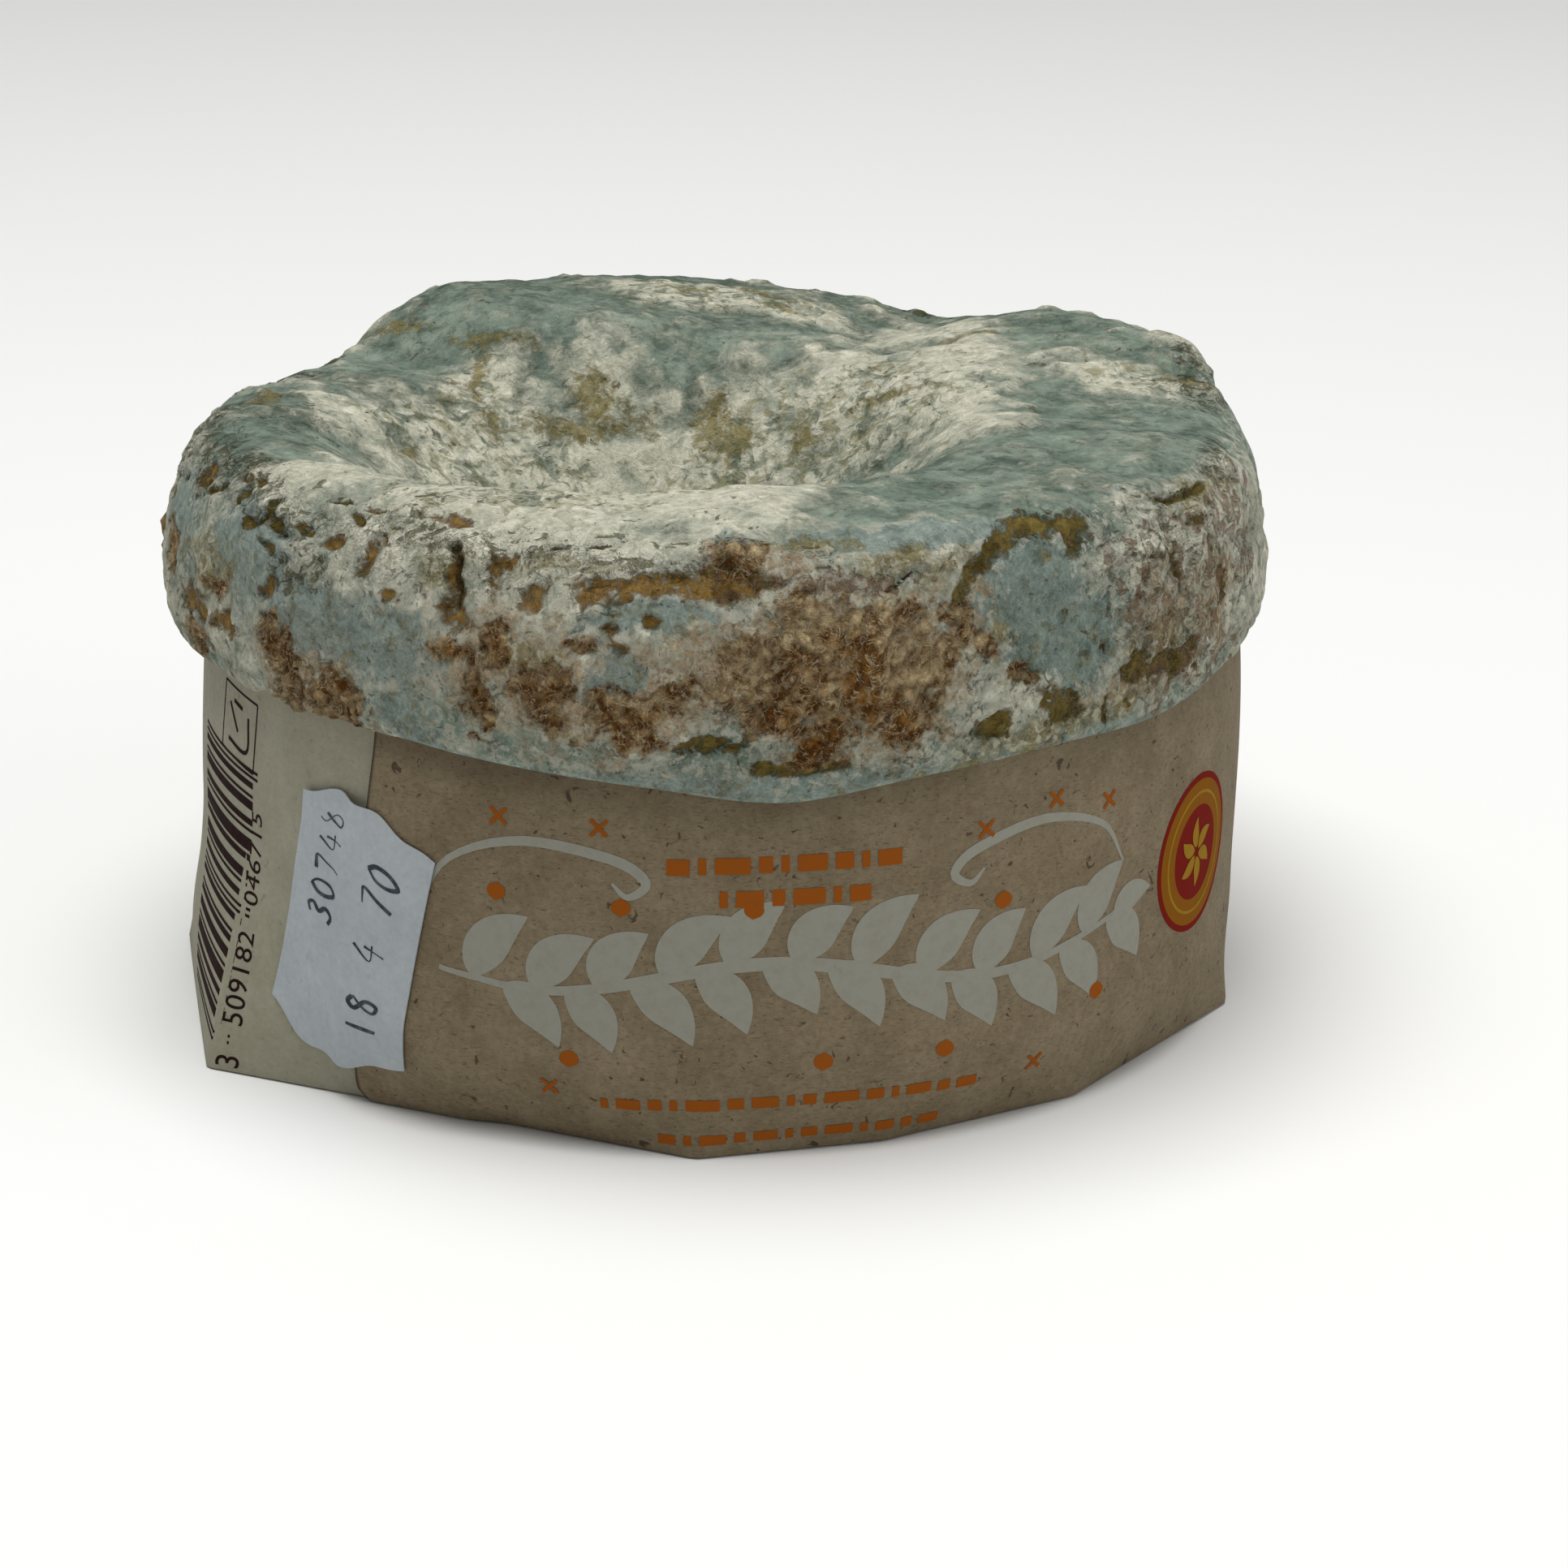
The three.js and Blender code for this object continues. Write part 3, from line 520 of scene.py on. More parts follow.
# Fine lines: threads of down on the side, the curled pale flakes of the crust and curly dark flecks, drawn
# coarser than real ones so that they show. Mask, size in mm, twist, half width, cover, colour, rise in mm.
for mask, size, twist, thin, most, tint, stands in (
    ("downy", 3.2, 2.6, 0.02, 0.2, "d0d0c0", 0.06),
    ("downy", 1.6, 2.0, 0.02, 0.2, "d0d0c0", 0.06),
    ("rust", 1.9, 1.5, 0.030, 0.6, "dcc8a0", 0.3),
    ("halo", 1.2, 1.7, 0.022, 0.35, "d2c6a8", 0.2),
    ("flecks", 2.3, 2.2, 0.014, 0.6, "57492a", -0.15),
    ("flecks", 1.2, 1.8, 0.014, 0.5, "4a4a30", -0.12),
):
    thread = add(
        tree, "TexNoise", {"Scale": 1000 / size, "Detail": 3, "Roughness": 0.55, "Distortion": twist},
        {"Vector": where},
    )
    thread = add(tree, "Math", {"operation": "SUBTRACT", 1: 0.5}, {0: thread})
    thread = add(tree, "Math", {"operation": "ABSOLUTE"}, {0: thread})
    thread = add(tree, "MapRange", {"From Max": thin, "To Min": most, "To Max": 0.0}, {"Value": thread})
    value = add(tree, "Attribute", {"attribute_name": mask}).outputs["Fac"]
    value = add(tree, "MapRange", {"From Min": 0.35, "From Max": 0.65}, {"Value": value})
    thread = add(tree, "Math", {"operation": "MULTIPLY"}, {0: thread, 1: value})
    skin = add(tree, "Mix", {"data_type": "RGBA", 7: colour(tint)}, {0: thread, 6: skin})
    height = add(tree, "Math", {"operation": "MULTIPLY_ADD", 1: stands}, {0: thread, 2: height})

grit = add(
    tree, "MapRange", {"From Min": 0.3, "From Max": 0.7, "To Min": 0.84, "To Max": 1.12}, {"Value": dust}
)
skin = add(tree, "Mix", {"data_type": "RGBA", "blend_type": "MULTIPLY", 0: 1.0}, {6: skin, 7: grit})
bump = add(tree, "Bump", {"Distance": MM}, {"Height": height})
rough = add(tree, "MapRange", {"To Min": 0.92, "To Max": 0.5}, {"Value": wet})
surface.inputs["Specular IOR Level"].default_value = 0.1
feed(tree, surface, {"Base Color": skin, "Normal": bump, "Roughness": rough})
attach(cheese, "root")
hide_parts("cheese")

# The kraft band: brown recycled paper wrapped round the stalk, its ends lapped over the cream panel.
# Its foot is folded in under the cheese, which makes the flat facets along the base.

BAND_RADIUS = 50.7
BAND_BULGE = 0.8
FOOT_RISE = 9
FOLD_WIDTH = 11
WALL_ROWS = 40
WALL_COLUMNS = 197
TUCK = 0.7
PAPER = 0.3
LIFT = 0.7
SEAM_AZIMUTH = -41.5
SEAM_LEAN = 5.5
KRAFT_BACK = 208
CREAM_BACK = 200
CREAM_FRONT = -30
SHEET_UNIT = 100
FIBRE_LENGTH = 0.769
FIBRE_WIDTH = 0.1613
LIP_SWELLS = (
    (7, 10, -2.5), (-26, 10, -0.5), (-42, 16, 1.9), (-70, 14, 1.0), (46, 10, -0.7), (70, 16, 0.6),
    (180, 60, 0.8),
)
FOOT_CORNERS = (
    (-94, 53.6), (-58, 56.6), (-2, 50.9), (18, 49.4), (42, 49.8), (74, 52.2), (106, 51.6), (138, 50.6),
    (170, 51.4), (206, 50.4), (238, 51.6), (266, 53.6),
)


def swell(swellings, azimuth):
    """Sum of soft swellings round the object: middle and half width in degrees, rise in mm."""
    total = 0 * azimuth
    for at, wide, up in swellings:
        total = total + up * np.exp(-((turned(azimuth - at) / wide) ** 2))
    return total


def lip_z(azimuth):
    """Height of the cap's lower edge."""
    return LIP_Z + swell(LIP_SWELLS, azimuth) + 0.35 * np.sin(np.radians(azimuth) * 11)


def foot_outline(azimuth):
    """Radius of the many-sided outline that the folds give the foot."""
    angle = (azimuth + 94) % 360 - 94
    radius = 0 * angle
    for (a, r), (b, s) in zip(FOOT_CORNERS, FOOT_CORNERS[1:]):
        here = (angle >= a) & (angle < b)
        first = np.radians(angle - a)
        second = np.radians(b - angle)
        chord = r * s * math.sin(math.radians(b - a)) / (r * np.sin(first) + s * np.sin(second))
        radius = np.where(here, chord, radius)
    return radius


def band_radius(azimuth, z):
    """Radius of the paper's outer face."""
    angle = np.radians(azimuth)
    round_one = BAND_RADIUS + BAND_BULGE * np.sin(math.pi * np.clip(z / LIP_Z, 0, 1))
    round_one = round_one + 0.6 * np.maximum(0, np.sin(angle)) * ease(14, 34, z)
    round_one = round_one + swell([(-90, 34, 1)], azimuth) * (0.6 - 1.7 * ease(3, 20, z))
    round_one = round_one + 0.5 * (1 - ease(0, 14, z))
    tall = FOOT_RISE + swell([(-62, 20, 16)], azimuth)
    share = (1 - np.clip(z / tall, 0, 1)) ** 1.5
    return round_one + (foot_outline(azimuth) - round_one) * share


def seam(z):
    """Azimuth of the kraft band's front left end, which leans, with its lower corner worn round."""
    return SEAM_AZIMUTH + SEAM_LEAN * z / LIP_Z + 1.6 * (1 - np.clip(z / 1.8, 0, 1)) ** 2


def around(azimuth, radius, z):
    """Rows of x, y, z in mm of places given by azimuth, radius and height."""
    angle = np.radians(azimuth)
    return np.stack([radius * np.sin(angle), -radius * np.cos(angle), z], 1)


def thicken(piece, thickness):
    """Gives a sheet its thickness in mm, inwards, and smooths its faces but not its rims."""
    thick = piece.modifiers.new("thickness", "SOLIDIFY")
    thick.thickness = thickness * MM
    thick.offset = -1
    work_on(piece)
    bpy.ops.object.modifier_apply(modifier="thickness")
    bpy.ops.object.shade_smooth_by_angle(angle=math.radians(40))


def sheet(name, start, end, lift):
    """A paper band from azimuth start(z) to end(z), lifted off the base surface by lift(azimuth, z), in mm.

    Its rows run from the fold's inner edge out to the foot and up to the lip. Its first columns are narrow,
    so that a thin line along the cut edge can be darker.
    """
    inward = np.array([FOLD_WIDTH, 8, 5, 3, 1.5, 0.7, 0.3, 0.1] + [0] * WALL_ROWS)
    share = np.concatenate([np.zeros(7), [0.002], np.linspace(0.008, 1, WALL_ROWS)])
    part = np.concatenate([[0, 0.0006, 0.0018, 0.004], np.linspace(0.0085, 1, WALL_COLUMNS)])
    columns = len(part) - 1
    bpy.ops.mesh.primitive_grid_add(x_subdivisions=columns, y_subdivisions=len(share) - 1, size=1)
    made = bpy.context.object
    made.name = name
    flat = places(made) * MM
    column = np.round((flat[:, 0] + 0.5) * columns).astype(int)
    row = np.round((flat[:, 1] + 0.5) * (len(share) - 1)).astype(int)
    z = share[row] * LIP_Z
    azimuth = start(z) + (end(z) - start(z)) * part[column]
    z = share[row] * (lip_z(azimuth) + TUCK)
    put(made, around(azimuth, band_radius(azimuth, z) + lift(azimuth, z) - inward[row], z))
    # Painted shade under the cap's overhanging lip, darkest at the front left, where the paper is also
    # smudged.
    under_lip = ease(3.2, 0.4, lip_z(azimuth) - z)
    remember(made, "lip_shade_and_smudge", 0.75 * under_lip * (0.35 + 0.65 * np.exp(-((azimuth + 26) / 13) ** 2)))
    remember(made, "edge", column < 2)
    corners = np.zeros(len(made.data.loops), int)
    made.data.loops.foreach_get("vertex_index", corners)
    sheet_place = np.stack([np.radians(azimuth) * BAND_RADIUS, z - inward[row]], 1) / SHEET_UNIT
    made.data.uv_layers[0].data.foreach_set("uv", sheet_place[corners].ravel())
    thicken(made, PAPER)
    return made


def kraft_lift(azimuth, z):
    """How far the kraft band's ends ride up over the cream panel."""
    at_front = 1 - ease(CREAM_FRONT + 1, CREAM_FRONT + 7, azimuth)
    return LIFT * np.maximum(at_front, ease(CREAM_BACK - 7, CREAM_BACK - 1, azimuth))


kraft = sheet("kraft_wrap", seam, lambda z: KRAFT_BACK + 0 * z, kraft_lift)


def paper(name, piece, base, pale, fibre, fleck, fibre_share, fleck_share):
    """Uncoated paper: dull, with a cloudy tone, fibres that lie all ways, pulp grain and sparse specks."""
    tree, surface = material(name, piece)
    laid = add(tree, "UVMap")
    solid = add(tree, "TexCoord").outputs["Object"]
    cloudy = add(tree, "TexNoise", {"Scale": 1000 / 6.25, "Detail": 8, "Roughness": 0.7}, {"Vector": solid})
    cloudy = add(tree, "MapRange", {"From Min": 0.35, "From Max": 0.65}, {"Value": cloudy})
    tone = add(tree, "Mix", {"data_type": "RGBA", 6: colour(base), 7: colour(pale)}, {0: cloudy})
    height = cloudy

    # Fibres, drawn thicker than real ones so that they show.
    for turn_by, length, tint, low in (
        (0.5, 1.0, fibre, 0.63), (-0.7, 1.0, pale, 0.63), (1.4, 0.8, fibre, 0.64), (0.05, 1.2, pale, 0.63),
        (-1.1, 0.7, fibre, 0.65), (0.9, 0.9, pale, 0.64),
    ):
        grid = (SHEET_UNIT / (FIBRE_LENGTH * length), SHEET_UNIT / FIBRE_WIDTH, 1)
        lie = add(tree, "Mapping", {"Rotation": (0, 0, turn_by), "Scale": grid}, {"Vector": laid})
        hair = add(tree, "TexNoise", {"Scale": 1.0, "Roughness": 0.4, "Distortion": 0.5}, {"Vector": lie})
        hair = add(
            tree, "MapRange", {"From Min": low, "From Max": low + 0.06, "To Max": fibre_share},
            {"Value": hair},
        )
        tone = add(tree, "Mix", {"data_type": "RGBA", 7: colour(tint)}, {0: hair, 6: tone})
        height = add(tree, "Math", {"operation": "ADD"}, {0: hair, 1: height})
    pulp_share = 0.3 * fibre_share
    pulp = add(tree, "TexNoise", {"Scale": 1000 / 0.667, "Detail": 5, "Roughness": 0.7}, {"Vector": solid})
    pulp = add(
        tree, "MapRange",
        {"From Min": 0.32, "From Max": 0.68, "To Min": 1 - pulp_share, "To Max": 1 + pulp_share},
        {"Value": pulp},
    )
    tone = add(tree, "Mix", {"data_type": "RGBA", "blend_type": "MULTIPLY", 0: 1.0}, {6: tone, 7: pulp})
    for size, low in ((1.316, 0.68), (0.714, 0.69)):
        speck = add(tree, "TexNoise", {"Scale": 1000 / size, "Distortion": 0.8}, {"Vector": solid})
        speck = add(
            tree, "MapRange", {"From Min": low, "From Max": low + 0.05, "To Max": fleck_share},
            {"Value": speck},
        )
        tone = add(tree, "Mix", {"data_type": "RGBA", 7: colour(fleck)}, {0: speck, 6: tone})
    # Darker under the lip, as painted shade that is partly a smudge, and in a thin line along the cut edge.
    for mark, strength in (("lip_shade_and_smudge", 0.6), ("edge", 0.85)):
        value = add(tree, "Attribute", {"attribute_name": mark}).outputs["Fac"]
        value = add(tree, "Math", {"operation": "MULTIPLY", 1: strength}, {0: value})
        tone = add(tree, "Mix", {"data_type": "RGBA", 7: colour(fleck)}, {0: value, 6: tone})
    bump = add(tree, "Bump", {"Strength": 0.35, "Distance": 0.06 * MM}, {"Height": height})
    surface.inputs["Roughness"].default_value = 0.82
    surface.inputs["Specular IOR Level"].default_value = 0.25
    feed(tree, surface, {"Base Color": tone, "Normal": bump})


paper("kraft_paper", kraft, "6c5f48", "7f725b", "4a3c28", "33271a", 0.5, 0.8)
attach(kraft, "root")
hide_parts("kraft_band")

# The cream panel: a smoother, paler paper round the left, folded in at the foot like the kraft.
# It is wrapped on first, and both ends of the kraft band lie over it.

cream = sheet(
    "cream_wrap", lambda z: CREAM_BACK + 0 * z, lambda z: 360 + CREAM_FRONT + 0 * z, lambda a, z: 0 * a
)
paper("cream_paper", cream, "8a8774", "969381", "7a7561", "5d5846", 0.25, 0.4)
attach(cream, "root")
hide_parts("cream_band")

# The print: matt ink laid straight on the papers. White leaves and tendrils go round the front of the kraft,
# with orange bars and dots, a round red and yellow mark, and dark bars with plain numbers on the cream.
# Each ink is one thin piece, drawn on the unrolled paper in mm and then laid round it.

LINE_STEPS = (0, 0.2, 0.4, 0.6, 0.8)
strokes = {}


def smoothed(points, closed):
    """A smooth line through a few points, with steps between each two."""
    rows = np.array(points, float)
    if closed:
        rows = np.concatenate([rows[-1:], rows, rows[:2]])
    else:
        rows = np.concatenate([2 * rows[:1] - rows[1:2], rows, 2 * rows[-1:] - rows[-2:-1]])
    line = []
    for a, b, c, d in zip(rows, rows[1:], rows[2:], rows[3:]):
        for t in LINE_STEPS:
            bend = (2 * a - 5 * b + 4 * c - d) * t * t + (3 * b - a - 3 * c + d) * t ** 3
            line.append(0.5 * (2 * b + (c - a) * t + bend))
    line.append(rows[-2])
    return np.array(line)


def ribbon(line, half, closed=False):
    """A flat strip along a line, with its half width at each point: the strip and its vertices' places."""
    steps = len(line) - 1
    ahead = np.gradient(line, axis=0)
    if closed:
        ahead[0] = ahead[-1] = line[1] - line[-2]
    ahead = ahead / np.maximum(np.hypot(ahead[:, 0], ahead[:, 1])[:, None], 1e-9)
    left = np.stack([-ahead[:, 1], ahead[:, 0]], 1)
    bpy.ops.mesh.primitive_grid_add(x_subdivisions=2, y_subdivisions=steps, size=1)
    made = bpy.context.object
    flat = places(made) * MM
    side = np.round((flat[:, 0] + 0.5) * 2) - 1
    row = np.round((flat[:, 1] + 0.5) * steps).astype(int)
    return made, line[row] - left[row] * (side * half[row])[:, None]


def stroke(ink, points, width, closed=False):
    """A printed line on the unrolled paper. Width is a number, or a function of the share of the way."""
    line = smoothed(points, closed)
    share = np.linspace(0, 1, len(line))
    half = np.array([width(s) if callable(width) else width for s in share]) / 2
    made, at = ribbon(line, half, closed)
    put(made, np.stack([at[:, 0], at[:, 1], 0 * at[:, 0]], 1))
    strokes.setdefault(ink, []).append(made)


def leaf(ink, at, length, fat, lean):
    """A pointed leaf with a slight bend, from its stem end."""
    way = np.array([math.cos(math.radians(lean)), math.sin(math.radians(lean))])
    side = np.array([-way[1], way[0]])
    points = []
    for s in (0, 0.25, 0.5, 0.75, 1):
        points.append(np.array(at) + way * length * s + side * 0.12 * length * math.sin(math.pi * s))
    stroke(ink, points, lambda s: 0.04 + fat * math.sin(math.pi * min(1, s ** 0.8)) ** 0.9)


def joined(parts, name):
    """Joins meshes to one piece with that name."""
    bpy.ops.object.select_all(action="DESELECT")
    for part in parts:
        part.select_set(True)
    bpy.context.view_layer.objects.active = parts[0]
    bpy.ops.object.join()
    parts[0].name = name
    return parts[0]


def matt_ink(name, piece, base, thin, worn):
    """Matt ink that has sunk into rough paper: the paper's own tone shows through in fine gaps."""
    tree, surface = material(name, piece)
    solid = add(tree, "TexCoord").outputs["Object"]
    gaps = add(tree, "TexNoise", {"Scale": 1000 / 1.11, "Detail": 5, "Roughness": 0.7}, {"Vector": solid})
    gaps = add(tree, "MapRange", {"From Min": 0.45, "From Max": 0.75, "To Max": worn}, {"Value": gaps})
    tone = add(tree, "Mix", {"data_type": "RGBA", 6: colour(base), 7: colour(thin)}, {0: gaps})
    bump = add(tree, "Bump", {"Strength": 0.3, "Distance": 0.04 * MM}, {"Height": gaps})
    surface.inputs["Roughness"].default_value = 0.85
    surface.inputs["Specular IOR Level"].default_value = 0.06
    feed(tree, surface, {"Base Color": tone, "Normal": bump})


def printed(ink, name, lift, standing, base, thin, worn):
    """Joins the strokes of one ink and lays them on the paper, standing just above its face."""
    piece = joined(strokes[ink], name)
    flat = places(piece)
    azimuth = np.degrees(flat[:, 0] / BAND_RADIUS)
    z = flat[:, 1]
    put(piece, around(azimuth, band_radius(azimuth, z) + lift(azimuth, z) + standing, z))
    bpy.ops.object.shade_smooth()
    matt_ink(ink + "_ink", piece, base, thin, worn)
    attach(piece, "root")
    return piece


def arc(azimuth):
    """Millimetres along the unrolled paper of an azimuth in degrees."""
    return math.radians(azimuth) * BAND_RADIUS


def stem(u):
    """Height of the garland's stem along the paper."""
    return 17.4 + 1.7 * math.sin((u + 6) / 6.9)


# White garland: a stem with pointed leaves in pairs, and a tendril at each end.
stem_line = [(u, stem(u)) for u in np.linspace(-25, 40, 28)]
stroke("white", stem_line, lambda s: 0.5 + 0.8 * math.sin(math.pi * s))
for index, u in enumerate(np.linspace(-22, 36, 11)):
    leaf("white", (u, stem(u)), 8.4 - 0.6 * (index % 3), 4.0, 50 - 6 * (index % 2))
    leaf("white", (u + 2.9, stem(u + 2.9)), 8.0 - 0.5 * ((index + 1) % 3), 3.8, -46 - 7 * (index % 2))
leaf("white", (40, stem(40)), 5.5, 2.8, 12)
for points in (
    [(-27, 22), (-24, 27.2), (-17, 29.6), (-9, 28.6), (-6, 26.6), (-7.6, 25.2), (-9, 26.4)],
    [(41, 23), (38, 27.4), (31, 29.4), (24, 28), (21.6, 26), (23.2, 24.8), (24.6, 26)],
):
    stroke("white", points, lambda s: 0.25 + 0.75 * math.sin(math.pi * s))

# Orange bars, small crosses and dots. A row of bars has its height, start, lengths and thickness in mm.
BAR_GAP = 0.75
CROSS_ARM = 1.05
for height, start, pieces, tall in (
    (28.4, -4.2, (2.0, 0.7, 3.1, 1.2, 0.7, 2.6, 1.6, 0.7, 2.2), 1.5),
    (25.3, 0.4, (0.7, 2.4, 1.1, 2.8, 0.7, 1.9), 1.5),
    (5.6, -10.4, (0.7, 2.2, 1.2, 0.7, 3.0, 1.4, 2.4, 0.7, 1.2, 3.2, 1.6, 0.7, 2.4, 1.2, 2.0), 1.1),
    (2.0, -5.2, (1.6, 0.7, 2.4, 1.0, 2.2, 0.7, 1.5, 2.6, 0.7, 1.8, 1.1, 2.0), 1.0),
):
    u = start
    for length in pieces:
        drop = -0.5 * ((u - 8) / 16) ** 2
        stroke("orange", [(u, height + drop), (u + length, height + drop)], tall)
        u = u + length + BAR_GAP
for azimuth, z in ((-22, 31.6), (-11.5, 31.4), (28, 29.6), (36.6, 31), (44, 29.4), (-17, 6.2), (35, 5.6)):
    for lean in (45, 135):
        du = CROSS_ARM * math.cos(math.radians(lean))
        dv = CROSS_ARM * math.sin(math.radians(lean))
        stroke("orange", [(arc(azimuth) - du, z - dv), (arc(azimuth) + du, z + dv)], 0.36)
for u, z in (
    (-19.6, 24.6), (-8.2, 24.2), (3.4, 24.2), (9.6, 9.4), (-13, 9.4), (26.6, 22.6), (38, 11), (21, 9.2),
):
    dot = [(u - 0.1, z - 0.85), (u + 0.1, z + 0.85)]
    stroke("orange", dot, lambda s: 0.1 + 1.7 * math.sin(math.pi * s) ** 0.6)

# Round mark: a red rim, a yellow ring and a red middle with a six-petalled flower.
mark = np.array([arc(61.4), 19.7])


def from_mark(angle, far):
    """A point that far in mm from the middle of the round mark."""
    return mark + far * np.array([math.cos(angle), math.sin(angle)])


def ring(ink, radius, width):
    """A ring of the round mark."""
    turns = np.linspace(0, 2 * math.pi, 17)[:-1]
    stroke(ink, [from_mark(t, radius) for t in turns], width, closed=True)


ring("red", 7.35, 0.75)
ring("yellow", 5.85, 2.5)
ring("red", 2.35, 4.6)
for lean in range(30, 390, 60):
    leaf("gold", from_mark(math.radians(lean), 0.5), 3.0, 1.35, lean)
ring("gold", 5.85, 0.3)

# Bars and numbers on the cream panel, printed sideways. A bar has its thickness and the gap after it in mm.
LONG_BARS = (0, 1, 11, 12, 23, 24)
NUMBER_SIZE = 2.9
z = 2.6
for index, (thick, gap) in enumerate((
    (0.28, 0.34), (0.28, 0.9), (0.9, 0.3), (0.3, 0.62), (0.62, 0.6), (1.2, 0.32), (0.3, 0.6),
    (0.9, 0.62), (0.62, 0.3), (0.32, 0.9), (0.6, 0.3), (0.28, 0.34), (0.28, 0.62), (0.62, 0.62),
    (0.3, 0.3), (0.9, 0.9), (0.62, 0.3), (1.2, 0.6), (0.3, 0.34), (0.62, 0.9), (0.9, 0.3), (0.3, 0.62),
    (0.62, 0.34), (0.28, 0.34), (0.28, 0.3),
)):
    low = z + thick / 2
    right = arc(-56.3) if index in LONG_BARS else arc(-57.4)
    stroke("maroon", [(arc(-74.5), low + 0.4), (arc(-66), low + 0.2), (right, low)], thick)
    z = z + thick + gap
for u, v, letters in ((arc(-55.0), 0.3, "3"), (arc(-55.2), 4.4, "509182"), (arc(-55.3), 15.9, "046715")):
    bpy.ops.object.text_add()
    words = bpy.context.object
    words.data.body = letters
    words.data.size = NUMBER_SIZE * MM
    words.data.space_character = 1.06
    bpy.ops.object.convert(target="MESH")
    flat = places(words)
    put(words, np.stack([u - flat[:, 1], v + flat[:, 0], 0 * flat[:, 0]], 1))
    strokes["maroon"].append(words)
corner = ((arc(-66.6), 28.9), (arc(-57.4), 28.4), (arc(-56.6), 35.2), (arc(-65.6), 35.6))
for a, b in zip(corner, corner[1:] + corner[:1]):
    stroke("maroon", [a, b], 0.22)
for points in (
    [(arc(-64.4), 30.2), (arc(-59.2), 30.0), (arc(-58.8), 33.4)], [(arc(-64), 33.8), (arc(-61.6), 31.4)],
    [(arc(-62.8), 34.2), (arc(-60.4), 33.9)],
):
    stroke("maroon", points, 0.4)

white = printed("white", "white_garland", kraft_lift, 0.03, "8d8c81", "7c7564", 0.4)
orange = printed("orange", "orange_marks", kraft_lift, 0.05, "8c4a12", "7a4e22", 0.4)
red = printed("red", "red_rings", kraft_lift, 0.03, "6e1208", "5e2114", 0.3)
yellow = printed("yellow", "yellow_ring", kraft_lift, 0.045, "7e4e08", "6e481a", 0.4)
gold = printed("gold", "gold_flower", kraft_lift, 0.06, "906e1c", "72501e", 0.4)
maroon = printed("maroon", "dark_bars_and_numbers", lambda a, z: 0 * a, 0.03, "21100f", "3e2d2b", 0.35)

# The pricing label: a small white sticker with wavy ends, stuck leaning across the seam of the two papers.
# Numbers are written on it by hand in blue-black pen, two lines that run up the label.

LABEL_AZIMUTH = -40.1
LABEL_Z = 17.5
LABEL_HALF_WIDTH = 8.1
LABEL_HALF_HEIGHT = 11
LABEL_LEAN = math.radians(12.5)
LABEL_THICKNESS = 0.14
LABEL_STANDS = 0.32
BULGE_ABOVE = 2.0
BULGE_BELOW = 3.2


def label_place(share, along, standing):
    """A point of the label: share across from 0 to 1, along from -1 to 1, standing off its bed in mm."""
    right = (2 * share - 1) * LABEL_HALF_WIDTH
    arch = np.maximum(np.sin(math.pi * np.clip(share, 0, 1) ** 0.85), 0) ** 1.3
    bulge = np.where(along > 0, BULGE_ABOVE, BULGE_BELOW) * arch
    up = along * (LABEL_HALF_HEIGHT + bulge)
    z = LABEL_Z + up * math.cos(LABEL_LEAN) - right * math.sin(LABEL_LEAN)
    sideways = right * math.cos(LABEL_LEAN) + up * math.sin(LABEL_LEAN)
    azimuth = LABEL_AZIMUTH + np.degrees(sideways / BAND_RADIUS)
    from_seam = azimuth - (SEAM_AZIMUTH + SEAM_LEAN * z / LIP_Z)
    bed = band_radius(azimuth, z) + LIFT * ease(-4.5, -1.5, from_seam)
    return around(azimuth, bed + standing, z)


bpy.ops.mesh.primitive_grid_add(x_subdivisions=40, y_subdivisions=60, size=2)
label = bpy.context.object
label.name = "pricing_label"
flat = places(label) * MM
share = (flat[:, 0] + 1) / 2
wave = 0.02 * np.sin(flat[:, 0] * 9) * np.sign(flat[:, 1]) * (np.abs(flat[:, 1]) > 0.9)

# One upper corner has come loose and curls up.
from_corner = np.hypot(share, flat[:, 1] - 1)
lifted = LABEL_STANDS + 0.35 * (from_corner < 0.3) * (0.3 - from_corner) / 0.3
put(label, label_place(share, flat[:, 1] + wave, lifted))
thicken(label, LABEL_THICKNESS)
paper("label_paper", label, "a0a7ab", "abb1b4", "9aa0a4", "8c8f90", 0.25, 0.3)
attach(label, "root")
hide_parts("lot_sticker")

# Pen numbers in blue-black ballpoint ink: each is one or two strokes in a box one high.
LETTER_STEP = 0.78
DIGITS = {
    "0": [[(0.35, 1), (0.08, 0.7), (0.08, 0.3), (0.32, 0), (0.58, 0.3), (0.58, 0.75), (0.35, 1)]],
    "1": [[(0.42, 1), (0.36, 0.5), (0.28, 0)]],
    "3": [[(0.1, 0.9), (0.4, 1), (0.55, 0.8), (0.3, 0.55), (0.55, 0.3), (0.35, 0.02), (0.02, 0.12)]],
    "4": [[(0.42, 1), (0.05, 0.42), (0.66, 0.4)], [(0.5, 0.66), (0.4, 0)]],
    "7": [[(0.04, 0.94), (0.34, 0.98), (0.62, 0.96), (0.4, 0.5), (0.24, 0)]],
    "8": [[
        (0.55, 0.86), (0.3, 1), (0.12, 0.76), (0.5, 0.4), (0.4, 0.04), (0.1, 0.14), (0.24, 0.5),
        (0.58, 0.84),
    ]],
}
pen = []
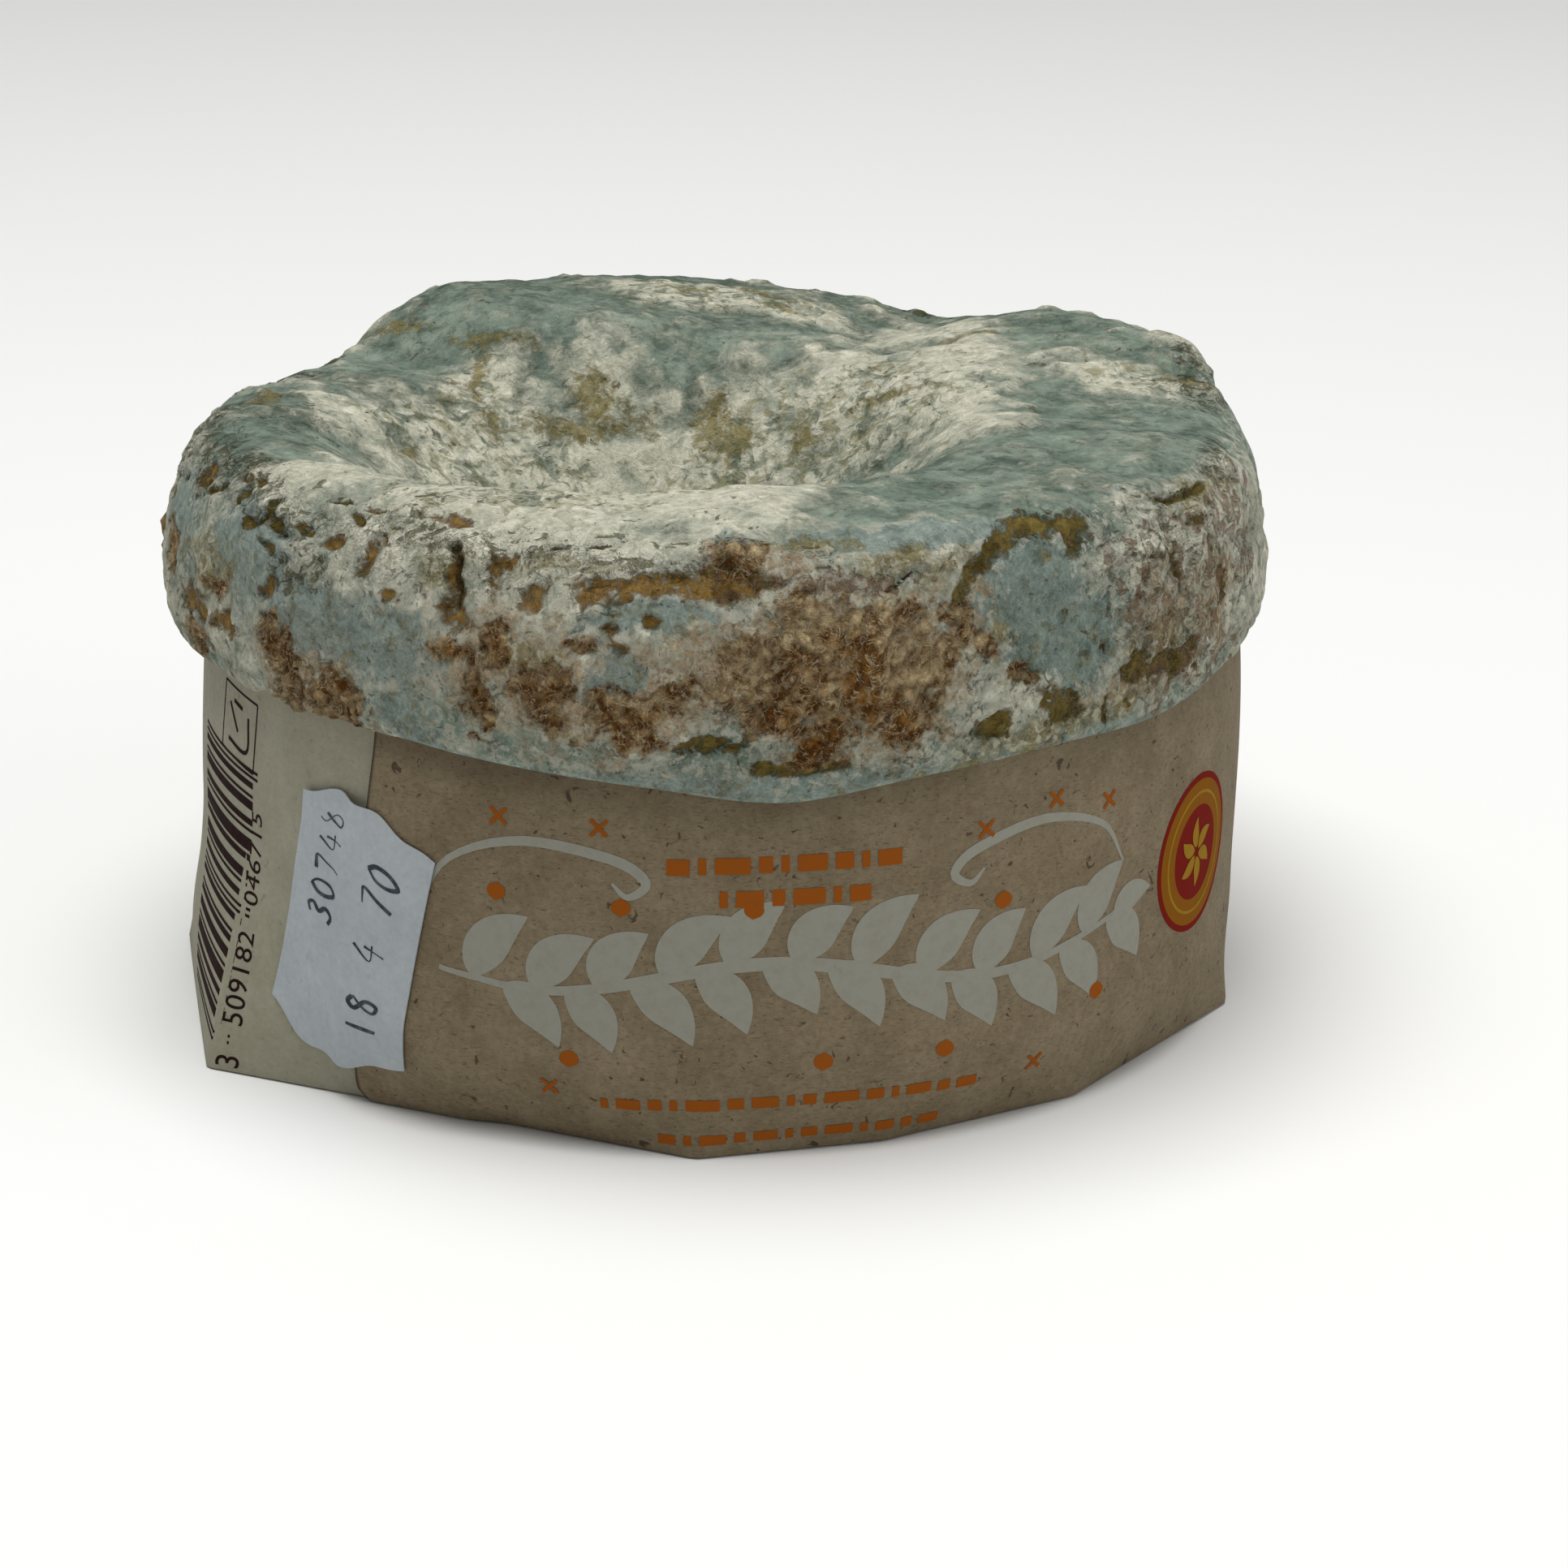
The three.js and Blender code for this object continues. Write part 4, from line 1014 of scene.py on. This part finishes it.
for across, first, tall, letters in ((0.27, -0.05, 3.2, "30748"), (0.70, -0.86, 3.5, "18 4 70")):
    for index, letter in enumerate(letters):
        for points in DIGITS.get(letter, []):
            wobble = random.uniform(-0.012, 0.012)
            line = smoothed(points, False)
            press = 0.05 + 0.03 * np.sin(np.linspace(0, 2.6, len(line)) + index)
            made, at = ribbon(line, press)
            up = first * LABEL_HALF_HEIGHT + (index + at[:, 0]) * tall * LETTER_STEP
            right = (2 * across - 1) * LABEL_HALF_WIDTH - (at[:, 1] - 0.5) * tall
            share = (right / LABEL_HALF_WIDTH + 1) / 2 + wobble
            put(made, label_place(share, up / (LABEL_HALF_HEIGHT + BULGE_ABOVE), LABEL_STANDS + 0.03))
            pen.append(made)
numbers = joined(pen, "pen_numbers")
matt_ink("pen_ink", numbers, "33393f", "6d7479", 0.7)
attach(numbers, "root")

# The set: a plain pale floor of matt painted board, just under the foot of the cheese.
# One large soft light hangs above the front left and a weaker one stands at the right, in a pale room.
# The camera looks down at the front, as in the photograph.

FLOOR_Z = -0.0001
LIGHTS_AIM = Vector((0, 0, 0.04))
CAMERA_PLACE = (0, -0.4027, 0.1613)
CAMERA_LENS = 98.54
CAMERA_DOWN = math.radians(19.627)
CAMERA_RIGHT = math.radians(0.98)
CAMERA_ROLL = math.radians(0.302)

bpy.ops.mesh.primitive_plane_add(size=6, location=(0, 0, FLOOR_Z))
floor = bpy.context.object
floor.name = "floor"
tree, surface = material("pale_floor", floor)
surface.inputs["Base Color"].default_value = colour("f1f1ef")
surface.inputs["Roughness"].default_value = 0.9

for name, place, size, power in (
    ("soft_light_above", (-0.08, -0.06, 1.0), 0.7, 9.2),
    ("soft_light_right", (0.95, -0.35, 0.4), 0.8, 2.6),
):
    bpy.ops.object.light_add(type="AREA", location=place)
    light = bpy.context.object
    light.name = name
    light.data.size = size
    light.data.energy = power
    light.rotation_euler = (LIGHTS_AIM - Vector(place)).to_track_quat("-Z", "Y").to_euler()

world = bpy.data.worlds.new("studio")
bpy.context.scene.world = world
world.use_nodes = True
world.node_tree.nodes["Background"].inputs["Color"].default_value = (1, 1, 1, 1)
world.node_tree.nodes["Background"].inputs["Strength"].default_value = 0.3
bpy.context.scene.view_settings.view_transform = "Standard"

bpy.ops.object.camera_add(location=CAMERA_PLACE)
camera = bpy.context.object
camera.name = "camera"
camera.data.lens = CAMERA_LENS
camera.data.sensor_width = 36
looking = Euler((math.radians(90) - CAMERA_DOWN, 0, -CAMERA_RIGHT)).to_matrix()
camera.rotation_euler = (looking @ Matrix.Rotation(CAMERA_ROLL, 3, "Z")).to_euler()
bpy.context.scene.camera = camera
